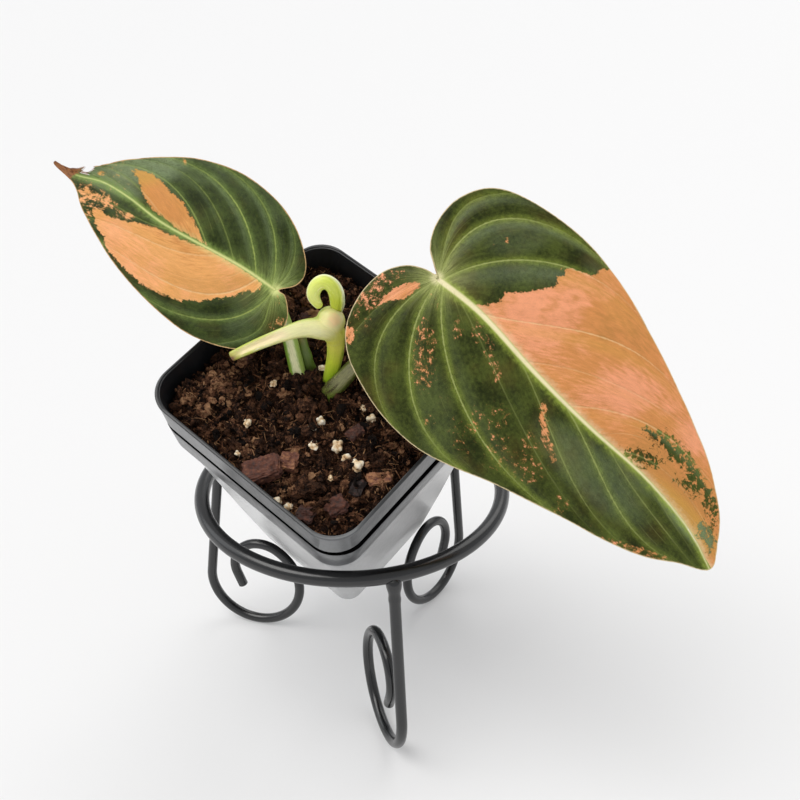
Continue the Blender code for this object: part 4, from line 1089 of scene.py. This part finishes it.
LEFT_SPECKS = (
    (72.8, 3.7, 2.4, 1.8, 24, 1.0), (68.9, 3.4, 2.4, 1.4, 27, 0.95), (65.1, 2.7, 2.4, 1.7, 25, 0.9),
    (61.7, 2.9, 2.0, 1.6, 21, 0.85), (57.4, 3.8, 3.2, 1.3, 29, 0.85), (66.2, -0.6, 3.2, 1.0, 27, 0.7),
    (71.6, -4.5, 1.6, 1.0, 25, 0.9), (54.6, 3.6, 2.0, 1.4, 27, 0.85), (67.6, 9.8, 2.4, 1.9, 126, 0.7),
    (72.3, 6.3, 2.0, 1.5, 126, 0.85), (50.6, -0.4, 1.2, 0.5, 28, 0.8), (-6.7, 8.2, 1.6, 1.6, 76, 0.8),
    (-2.7, 3.0, 2.4, 0.9, 120, 0.6), (49.4, -22.8, 3.0, 0.8, -30, 0.8), (66.0, -8.0, 8.0, 5.0, -30, 0.42),
    (69.0, 5.5, 8.0, 4.5, 27, 0.62), (75.0, 2.0, 5.0, 3.0, 20, 0.6), (-6.0, 10.0, 3.0, 2.4, 60, 0.5),
)
# The left leaf's painted sheen: middle, half length, half width, direction, amount
LEFT_PAINTED_SHEEN = ((60.0, -14.0, 14.0, 6.5, 33, 1.0), (68.0, -3.5, 12.0, 3.5, 5, 0.8),
               (44.0, -21.0, 14.0, 4.5, 20, 0.2), (18.0, -24.0, 14.0, 4.0, -8, 0.15),
               (4.0, 12.0, 9.0, 5.0, 80, 0.2))
LEFT_BLUSH = ((40.0, 17.0, 9.0, 0.5), (56.0, 13.0, 6.0, 0.6), (20.0, 8.0, 8.0, 0.25),
              (34.0, 8.0, 8.0, -0.2), (47.0, -8.0, 9.0, -0.7), (58.0, -10.0, 7.0, -0.6),
              (35.0, -3.5, 7.0, -0.4), (26.0, 12.0, 6.0, -0.25))
LEFT_TEAR = (((90.5, -6.0), (74.0, -9.0), (75.7, -5.6), (75.3, -4.5), (76.3, -2.9), (76.9, -1.5),
              (77.8, -2.1), (77.6, -3.2), (76.9, -4.6), (78.7, -3.6), (81.3, -1.5), (83.6, -0.6),
              (86.4, -0.4), (88.4, -0.5)),)
LEFT_HOOK = (((79.5, -3.0), (92.0, -3.0), (92.0, 3.0), (81.5, 3.0)),)
left_top = leaf_coat("left_leaf_velvet", 0.02, 0.03, Green=rgb(62, 75, 28), Deep=rgb(30, 40, 7),
                     Peach=rgb(231, 166, 98), Pink=rgb(244, 172, 118), Tan=rgb(212, 144, 80),
                     Line=rgb(158, 172, 90), Rib=rgb(228, 230, 154), Halo=rgb(142, 168, 84),
                     Rim=rgb(220, 180, 130))
left_under = leaf_coat("left_leaf_underside", 0.1, 0.04, Green=rgb(128, 130, 90), Deep=rgb(104, 100, 72),
                       Peach=rgb(222, 168, 122), Pink=rgb(230, 178, 142), Tan=rgb(208, 156, 104),
                       Line=rgb(168, 172, 110), Rib=rgb(204, 200, 140), Halo=rgb(150, 160, 96),
                       Rim=rgb(196, 158, 110))
left_leaf = leaf_blade(LEFT_MARGIN, LEFT_MIDRIB, LEFT_VEINS, 14, LEFT_POSE, LEFT_FORM, LEFT_SUN, (),
                       LEFT_SPECKS, LEFT_BLUSH, LEFT_PAINTED_SHEEN, 0.55, 0.62, LEFT_TEAR + LEFT_HOOK, LEFT_TEAR)
finish_piece(left_leaf, "left_leaf_blade", (left_top, left_under), "left_leaf", "left_leaf", smooth=60)

# Left petiole: the round stalk of the older leaf, green with a painted highlight as a pale stripe down its
# flattened face, and the thin dried sheath that once wrapped it. Both come out of the mix beside the stem.
LEFT_PETIOLE = ((-8.8, 4.0, -16.8, 2.9), (-9.8, 4.0, -9.8, 2.9), (-10.8, 7.2, -4.6, 2.8),
                (-12.6, 13.0, 5.0, 2.6), (-14.3, 17.6, 11.0, 2.2), (-15.8, 21.4, 16.2, 1.6),
                (-16.4, 23.2, 19.2, 1.3))
OLD_CATAPHYLL = ((-4.4, 8.6, -15.6, 1.9), (-5.9, 8.6, -9.0, 2.1), (-7.3, 11.0, -3.4, 2.0),
                 (-8.6, 14.8, 1.8, 1.6), (-9.4, 17.0, 4.2, 0.9))
# The way toward the camera in the pot's frame; colour bands keyed to facing it are painted highlights
FACING = np.array((0.0, -0.49, 0.87))


def stalk(route, shape, around=40, per_mm=2.4, round_end=0.8):
    """A stalk swept along its route: shape(share, angle) gives how far its skin stands at each place."""
    path = smooth_line(route, 12)
    gone = np.concatenate([[0], np.cumsum(np.linalg.norm(np.diff(path[:, :3], axis=0), axis=1))])
    rings = round(gone[-1] * per_mm)
    share = np.linspace(0, 1, rings + 1)
    path = np.array([np.interp(share * gone[-1], gone, path[:, k]) for k in range(4)]).T
    way = np.gradient(path[:, :3], axis=0)
    way /= np.linalg.norm(way, axis=1)[:, None]
    face, faces = FACING, []
    for one in way:
        face = face * 0.85 + FACING * 0.15
        face = face - one * (face @ one)
        face = face / np.linalg.norm(face)
        faces.append(face)
    faces = np.array(faces)
    sides = np.cross(way, faces)
    ends = np.minimum(share, 1 - share) * gone[-1] / np.maximum(path[:, 3], 0.4)
    closing = np.sqrt(np.clip(1 - (1 - np.clip(ends, 0, round_end) / round_end) ** 2, 0, 1))
    piece, column, row = grid_piece(around, rings)
    angle = (column % around / around * 2 - 1) * math.pi
    share, wide = share[row], path[row, 3]
    across, beside = np.cos(angle), np.sin(angle)
    out = wide * shape(share, angle) * closing[row]
    points = path[row, :3] + (across * out)[:, None] * faces[row] + (beside * out)[:, None] * sides[row]
    points = points * MM @ np.array(pot_frame.to_3x3()).T + np.array(pot_frame.translation)
    piece.data.vertices.foreach_set("co", points.ravel())
    lay_marks(piece, share=share, facing=across, beside=beside, stand=out / np.maximum(wide, 0.1),
              skin=np.column_stack([across * wide, beside * wide, share * gone[-1] * 0.16]))
    into_edit(piece)
    bpy.ops.mesh.remove_doubles(threshold=0.000015)
    turn_outwards()
    return piece


def stalk_coat(name, lengthwise, bands, ribbing=0.3, marks=0.0, gloss=(0.3, 0.42)):
    """A juicy stalk skin: colours along its length, bands along its sides (those toward the camera are painted
    highlights), fine ribs and a few dark scars.
    """
    coat = Coat(name)
    skin, share = coat.mark("skin", "Vector"), coat.mark("share")
    cloud, ribs = coat.noise(skin, 0.5, 3.0), coat.noise(skin, 2.6, 4.0, 0.65)
    pores = coat.noise(skin, 9.0, 2.0)
    colour = coat.ramp((cloud - 0.5) * 0.12 + share, *lengthwise)
    for key, low, high, first, last, band, amount in bands:
        within = coat.step((ribs - 0.5) * 0.35 + coat.mark(key), low, high)
        where = (coat.step(share, first - 0.04, first + 0.04)
                 * coat.step(share, last - 0.04, last + 0.04, 1.0, 0.0))
        colour = coat.blend(within * where * amount, colour, band)
    colour = coat.shaded(colour, coat.step(ribs, 0.3, 0.7, 1 - ribbing, 1 + ribbing))
    scar = coat.step(pores * 0.4 + cloud * 0.6, 0.58, 0.62, 0.0, marks)
    return coat.plug_in(coat.blend(scar, colour, rgb(58, 40, 22)), coat.step(cloud, 0.3, 0.7, *gloss),
                        ribs * 0.8 + pores * 0.25, 0.35, 0.0004, Subsurface_Weight=0.12,
                        Subsurface_Radius=(0.6, 0.9, 0.2), Subsurface_Scale=0.002)


def ridge(angle, middle, width):
    """A soft ridge along a stalk at one angle round it."""
    return np.exp(-(((angle - middle + math.pi) % (2 * math.pi) - math.pi) / width) ** 2)


left_green = stalk_coat("left_petiole_green", ((0.0, rgb(150, 166, 98)), (0.3, rgb(128, 166, 56)),
                                               (0.7, rgb(142, 178, 70)), (1.0, rgb(172, 188, 122))),
                        (("beside", -0.65, -0.2, 0.0, 1.0, rgb(176, 198, 112), 0.8),
                         # The pale stripe toward the camera is a painted highlight
                         ("facing", 0.78, 1.0, 0.0, 1.0, rgb(240, 238, 190), 0.95)), 0.06)
piece = stalk(LEFT_PETIOLE, lambda share, angle: 0.98 + 0.05 * ridge(angle, 0.62, 0.25)
              + 0.05 * ridge(angle, -0.62, 0.25) - 0.1 * ridge(angle, 0.0, 0.4))
finish_piece(piece, "left_leaf_petiole", left_green, "petiole_green", "left_petiole", smooth=70)

old_green = stalk_coat("old_sheath_green", ((0.0, rgb(110, 108, 58)), (0.35, rgb(84, 104, 42)),
                                            (0.75, rgb(104, 122, 52)), (1.0, rgb(150, 128, 76))),
                       (("beside", 0.2, 0.8, 0.0, 1.0, rgb(88, 112, 38), 0.7),), 0.25, 0.35)
piece = stalk(OLD_CATAPHYLL, lambda share, angle: (0.92 + 0.06 * np.sin(share * 23)) * (
    1.0 - 0.32 * np.cos(angle) ** 2 + 0.12 * ridge(angle, 1.1, 0.2) + 0.12 * ridge(angle, -1.1, 0.2)))
finish_piece(piece, "old_leaf_sheath", old_green, "petiole_green", "old_cataphyll", smooth=70)

# Stem and right petiole: the short thick stem creeps at the surface of the mix and carries a ringed node,
# out of which the larger leaf's stalk leans away, grey-green and scarred at its foot.
STEM = ((-12.0, 9.6, -22.0, 3.2), (-6.6, 6.6, -18.4, 3.6), (-1.4, 3.4, -14.4, 4.2), (2.2, 1.8, -11.2, 4.4),
        (4.8, 1.5, -9.0, 3.8))
RIGHT_PETIOLE = ((-0.8, 0.9, -12.0, 3.5), (3.6, 2.4, -6.6, 3.4), (7.6, 4.2, -2.0, 3.1),
                 (14.7, 7.7, 6.3, 2.75), (25.0, 12.6, 18.6, 2.3), (32.6, 15.8, 28.4, 2.0),
                 (36.0, 16.5, 33.2, 1.7), (37.0, 15.7, 36.2, 1.5))
stem_green = stalk_coat("stem_green_brown", ((0.0, rgb(96, 78, 46)), (0.55, rgb(112, 120, 50)),
                                             (1.0, rgb(122, 140, 58))),
                        (("beside", 0.3, 0.9, 0.0, 1.0, rgb(84, 92, 36), 0.6),), 0.3, 0.7, (0.38, 0.55))
piece = stalk(STEM, lambda share, angle: (0.97 + 0.035 * np.cos(share * 62)
                                          + 0.03 * np.sin(angle * 3 + share * 9)))
finish_piece(piece, "stem_node", stem_green, "stem_green", "stem", smooth=70)
right_green = stalk_coat("right_petiole_green", ((0.0, rgb(104, 142, 30)), (0.06, rgb(118, 128, 56)),
                                                 (0.22, rgb(116, 122, 64)), (0.5, rgb(112, 134, 58)),
                                                 (1.0, rgb(148, 160, 92))),
                         # The grey-beige band toward the camera is a painted highlight
                         (("facing", 0.55, 0.9, 0.1, 0.5, rgb(160, 152, 116), 0.5),
                          ("beside", 0.5, 0.9, 0.0, 1.0, rgb(92, 112, 40), 0.6)), 0.3, 0.9)
piece = stalk(RIGHT_PETIOLE, lambda share, angle: 0.98 + 0.06 * ridge(angle, 0.7, 0.25)
              + 0.06 * ridge(angle, -0.7, 0.25) - 0.08 * ridge(angle, 0.0, 0.4))
finish_piece(piece, "right_leaf_petiole", right_green, "petiole_green", "right_petiole", smooth=70)

# Shoot: a keeled pale sheath that has opened into a hood and a bent-back limb with a slot at its tip, and
# the next leaf, still rolled, hooking up and over out of the hood. Web, hood and limb are one skin.
SHEATH = ((-0.6, 3.4, -12.4, 2.5), (1.2, 5.8, -5.0, 2.7), (2.9, 8.4, 2.8, 3.0), (3.4, 9.4, 11.0, 3.3),
          (2.6, 9.2, 16.5, 4.0), (-0.5, 7.8, 19.8, 3.9), (-6.0, 6.0, 22.6, 3.1), (-12.0, 3.0, 23.9, 2.45),
          (-20.0, -0.8, 24.0, 2.05), (-26.0, -3.8, 23.5, 1.8), (-28.9, -5.3, 23.2, 1.65))
# Lumps grown into the sheath: middle, reach each way and lean about the pot frame's Y
HOOD = (((2.5, 10.4, 20.6), (4.6, 4.4, 5.6), -12.0), ((3.2, 9.4, 14.6), (3.7, 3.6, 6.6), 0.0),
        ((-0.6, 8.7, 19.2), (4.6, 3.4, 3.9), 35.0))
NEW_LEAF = ((3.4, 13.0, 17.0, 1.2), (4.5, 13.8, 22.4, 2.0), (4.8, 13.6, 26.2, 2.5), (4.6, 14.4, 30.7, 2.6),
            (3.2, 15.3, 33.7, 2.5), (0.9, 15.8, 34.7, 2.45), (-1.3, 15.2, 33.7, 2.4),
            (-2.6, 14.2, 31.0, 2.25), (-2.3, 13.4, 28.2, 1.9), (-0.6, 12.4, 25.2, 1.2))
BEAK = ((-2.9, 14.6, 31.9, 1.3), (-3.5, 14.2, 29.6, 1.1), (-3.7, 13.6, 27.8, 0.75), (-3.5, 13.2, 26.7, 0.35))
# Where the hood turns cream and pink on top: its own blush and a painted highlight
HOOD_BLUSH_AND_HIGHLIGHT = (3.6, 8.4, 24.0)


def sheath_shape(share, angle):
    """Two keels and a hollow between them, and a long slot with a raised left lip cut into the limb's end."""
    limb = np.clip((share - 0.55) / 0.15, 0, 1)
    keels = 0.14 * ridge(angle, 0.85, 0.22) + 0.12 * ridge(angle, -0.95, 0.22)
    slot = np.clip((share - 0.7) / 0.12, 0, 1) * np.clip((0.97 - share) / 0.02, 0, 1)
    return (0.95 + keels * (0.4 + 0.6 * limb) - 0.1 * limb * ridge(angle, 0.0, 0.5)
            - 0.34 * slot * ridge(angle, 0.05, 0.55) + 0.16 * slot * ridge(angle, -0.72, 0.14)
            - 0.05 * limb * np.cos(angle) ** 2)


def grown_together(piece, lumps, cell, rounds):
    """Joins lumps and stalks into one skin by a fine remesh, and carries the stalk's marks over to it."""
    tree = kdtree.KDTree(len(piece.data.vertices))
    for number, vert in enumerate(piece.data.vertices):
        tree.insert(vert.co, number)
    tree.balance()
    own = read_marks(piece, "share", "facing", "beside", "stand", "skin")
    joined([piece, *lumps])
    skin = piece.modifiers.new("one_skin", "REMESH")
    skin.mode, skin.voxel_size = "VOXEL", cell * MM
    soft = piece.modifiers.new("soft", "SMOOTH")
    soft.factor, soft.iterations = 0.5, rounds
    for modifier in list(piece.modifiers):
        bpy.ops.object.modifier_apply(modifier=modifier.name)
    near = [tree.find_n(vert.co, 5) for vert in piece.data.vertices]
    pick = np.array([[one[1] for one in row] for row in near])
    pull = 1.0 / (np.array([[one[2] for one in row] for row in near]) + 0.00005)
    pull /= pull.sum(1)[:, None]
    # A cream-pink blush round the hood's top, partly a painted highlight
    blush = in_pot(*HOOD_BLUSH_AND_HIGHLIGHT)
    glow = [math.exp(-((vert.co - blush).length / (5.2 * MM)) ** 2) for vert in piece.data.vertices]
    lay_marks(piece, blush=glow, **{key: (values[pick] * pull[:, :, None]).sum(1).squeeze()
                                    for key, values in own.items()})
    return piece


lime = stalk_coat("sheath_lime", ((0.0, rgb(92, 140, 12)), (0.1, rgb(160, 198, 32)), (0.2, rgb(222, 236, 72)),
                                  (0.32, rgb(244, 244, 104)), (0.44, rgb(240, 238, 108)),
                                  (0.56, rgb(236, 234, 150)), (0.78, rgb(232, 230, 150)),
                                  (0.93, rgb(206, 214, 92)), (0.975, rgb(186, 184, 80)),
                                  (1.0, rgb(118, 78, 46))),
                  (("beside", 0.45, 0.9, 0.0, 0.3, rgb(128, 170, 28), 0.45),
                   ("beside", -0.3, -0.75, 0.0, 0.34, rgb(196, 212, 74), 0.5),
                   ("beside", 0.5, 0.9, 0.5, 0.97, rgb(172, 192, 66), 0.75),
                   # The cream bands toward the camera on the hood and the limb are painted highlights
                   ("facing", 0.4, 0.9, 0.5, 0.76, rgb(250, 244, 196), 0.55),
                   ("facing", 0.62, 0.95, 0.72, 0.96, rgb(250, 226, 186), 0.75),
                   ("stand", 1.02, 1.12, 0.76, 0.96, rgb(250, 246, 224), 0.8),
                   # The hood's cream and pink top: its blush and a painted highlight
                   ("blush", 0.2, 0.8, 0.0, 1.0, rgb(250, 240, 170), 0.9),
                   ("blush", 0.72, 0.98, 0.0, 1.0, rgb(246, 206, 150), 0.75)), 0.06)
lumps = []
for middle, reach, lean in HOOD:
    lump = added(bpy.ops.mesh.primitive_uv_sphere_add, segments=40, ring_count=24, radius=MM)
    lump.matrix_world = (pot_frame @ Matrix.Translation(Vector(middle) * MM)
                         @ Matrix.Rotation(math.radians(lean), 4, "Y") @ Matrix.Diagonal((*reach, 1.0)))
    bpy.ops.object.transform_apply(location=True, rotation=True, scale=True)
    lumps.append(lump)
piece = grown_together(stalk(SHEATH, sheath_shape, 72, 3.0, 0.3), lumps, 0.26, 5)
finish_piece(piece, "shoot_sheath", lime, "shoot_lime", "cataphyll", smooth=70)

rolled_lime = stalk_coat("rolled_leaf_lime", ((0.0, rgb(180, 196, 60)), (0.35, rgb(200, 212, 62)),
                                              (0.6, rgb(216, 226, 96)), (0.85, rgb(236, 242, 140)),
                                              (1.0, rgb(214, 222, 96))),
                         # The white band down one side and the pale ridges are painted highlights
                         (("beside", 0.6, 0.95, 0.0, 1.0, rgb(244, 246, 204), 0.85),
                          ("stand", 1.01, 1.06, 0.0, 1.0, rgb(240, 242, 176), 0.5)), 0.06)
beak = stalk(BEAK, lambda share, angle: np.ones(len(share)), 24, 4.0)
piece = stalk(NEW_LEAF, lambda share, angle: 0.97 - 0.16 * ridge(angle, 0.35 + 0.5 * share, 0.12)
              + 0.07 * ridge(angle, 0.62 + 0.5 * share, 0.2) + 0.05 * ridge(angle, -0.9, 0.4), 64, 3.6)
piece = grown_together(piece, [beak], 0.24, 3)
finish_piece(piece, "rolled_new_leaf", rolled_lime, "shoot_lime", "new_leaf", smooth=70)

# Perlite: expanded white glass grains, popped like corn and stained cream by the mix, half sunk in it.
# Each grain is one piece.
PERLITE = (
    (-19.0, 2.7, 1.5), (-27.1, -12.1, 1.6), (-29.5, -23.7, 1.3), (-2.2, -11.7, 1.9), (-4.8, -15.4, 1.6),
    (-4.1, -21.1, 1.5), (4.0, -20.6, 2.0), (6.9, -25.4, 1.9), (10.8, -29.0, 1.9), (12.4, -6.2, 1.4),
    (15.4, -10.0, 1.6), (2.1, -33.4, 1.2), (-15.4, -40.2, 1.5), (-11.5, -42.6, 1.2), (-2.0, 8.6, 1.4),
    (-14.0, 42.0, 1.4),
)


def perlite_coat():
    """Chalky cream, whiter on the knobs as a painted highlight and darker brown in the pits, with a sugary
    grain.
    """
    coat = Coat("popped_perlite")
    place = coat.place()
    level = coat.noise(place, 420.0, 4.0, 0.6) * 0.8 + coat.mark("knob")
    colour = coat.ramp(level, (0.1, rgb(122, 84, 54)), (0.26, rgb(214, 178, 132)), (0.44, rgb(240, 224, 194)),
                       (0.68, rgb(250, 246, 236)))
    return coat.plug_in(colour, *coat.grain(place, 2600.0, 4.0, 0.6, 0.9), 0.6, 0.0003)


popped = perlite_coat()
for number, (x, y, size) in enumerate(PERLITE):
    grain = added(bpy.ops.mesh.primitive_ico_sphere_add, subdivisions=4, radius=1.0)
    stretch = rng.uniform(0.7, 1.3, 3)
    knob = []
    for vert in grain.data.vertices:
        spot = vert.co * 0.95 + Vector((number * 7.3, 0.0, 0.0))
        bulge = 0.4 - noise.voronoi(spot)[0][0] + 0.12 * noise.fractal(spot * 2.6, 0.8, 2.0, 3)
        knob.append(bulge * 0.45)
        local = Vector(np.array(vert.co) * stretch) * (1.0 + 0.8 * bulge) * size * 0.96
        vert.co = in_pot(x + local.x, y + local.y, soil_level(x, y) + size * 0.45 + local.z * 0.9)
    # The knobs' height: the coat turns white on them as a painted highlight, and brown in the pits
    lay_marks(grain, knob=knob)
    name = f"perlite_{number + 1:02d}"
    finish_piece(grain, f"perlite_grain_{number + 1:02d}", popped, "perlite", name, smooth=60)

# Bark: chips of composted pine bark, red-brown and layered, with broken corners. Each chip is one piece,
# bedded in the mix.
BARK = (
    (-20.9, -30.4, 13.4, 8.6, 5.4, 20), (-12.0, -27.0, 6.2, 6.6, 4.6, 75), (18.2, -33.6, 8.4, 4.6, 2.0, 10),
    (11.2, -36.6, 6.4, 4.2, 2.6, 60), (4.4, -43.2, 7.4, 6.4, 4.8, 35), (-5.6, -46.0, 6.0, 5.0, 3.8, -20),
    (9.8, -16.4, 6.4, 4.4, 2.6, 40), (-31.0, 14.0, 6.8, 4.6, 3.0, -30), (-9.0, 30.0, 6.0, 4.6, 3.0, 50),
    (14.0, -1.6, 7.0, 1.4, 1.1, 6),
)
BARK_TINTS = (0.0, 0.12, 0.2, -0.3, -0.05, -0.12, -0.1, -0.05, -0.1, 0.15)


def bark_coat():
    """Layered bark: red-brown with darker plates, pale broken fibre and peat dust in the cracks."""
    coat = Coat("composted_bark")
    place = coat.place()
    plates = coat.noise(coat.stretched(place, (1.0, 1.0, 3.2), (0.5, 0.2, 0.4)), 330.0, 6.0, 0.7)
    dust = coat.noise(place, 1100.0, 3.0)
    level = dust * 0.35 + plates + coat.mark("tint")
    colour = coat.ramp(level, (0.38, rgb(30, 17, 13)), (0.56, rgb(70, 38, 28)), (0.76, rgb(104, 60, 44)),
                       (1.02, rgb(172, 122, 84)))
    return coat.plug_in(colour, coat.fit(dust, 0.3, 0.7, 0.6, 0.9), level, 0.8, 0.0006)


bark = bark_coat()
for number, (x, y, length, width, height, degrees) in enumerate(BARK):
    chip = added(bpy.ops.mesh.primitive_cube_add, size=1.0)
    into_edit(chip)
    bpy.ops.mesh.bevel(offset=0.12, segments=2, affect="EDGES")
    bpy.ops.mesh.select_all(action="SELECT")
    bpy.ops.mesh.subdivide(number_cuts=5)
    bpy.ops.mesh.subdivide(number_cuts=2)
    bpy.ops.object.mode_set(mode="OBJECT")
    spin = Matrix.Rotation(math.radians(degrees), 3, "Z") @ Matrix.Rotation(rng.uniform(-0.2, 0.2), 3, "X")
    for vert in chip.data.vertices:
        spot = Vector((vert.co.x * length, vert.co.y * width, vert.co.z * height))
        seed = spot + Vector((number * 11.0, 0.0, 0.0))
        worn = 1.0 - 0.22 * (abs(vert.co.x) ** 3 + abs(vert.co.y) ** 3) * 4 * abs(noise.noise(seed * 0.4) + 0.6)
        flake = 0.9 * noise.noise(Vector((seed.x * 0.4, seed.y * 0.4, seed.z * 1.6)))
        flake += 0.7 * noise.noise(seed * 0.33) + 0.55 * (0.3 - noise.voronoi(seed * 0.75)[0][0])
        flake += 0.3 * noise.fractal(seed * 1.7, 0.6, 2.0, 3)
        spot = spin @ (spot * worn + vert.co.normalized() * flake)
        vert.co = in_pot(x + spot.x, y + spot.y, soil_level(x, y) + height * 0.18 + spot.z + 0.4)
    lay_marks(chip, tint=np.full(len(chip.data.vertices), BARK_TINTS[number]))
    finish_piece(chip, f"bark_piece_{number + 1:02d}", bark, "bark", f"bark_chip_{number + 1:02d}", smooth=50)
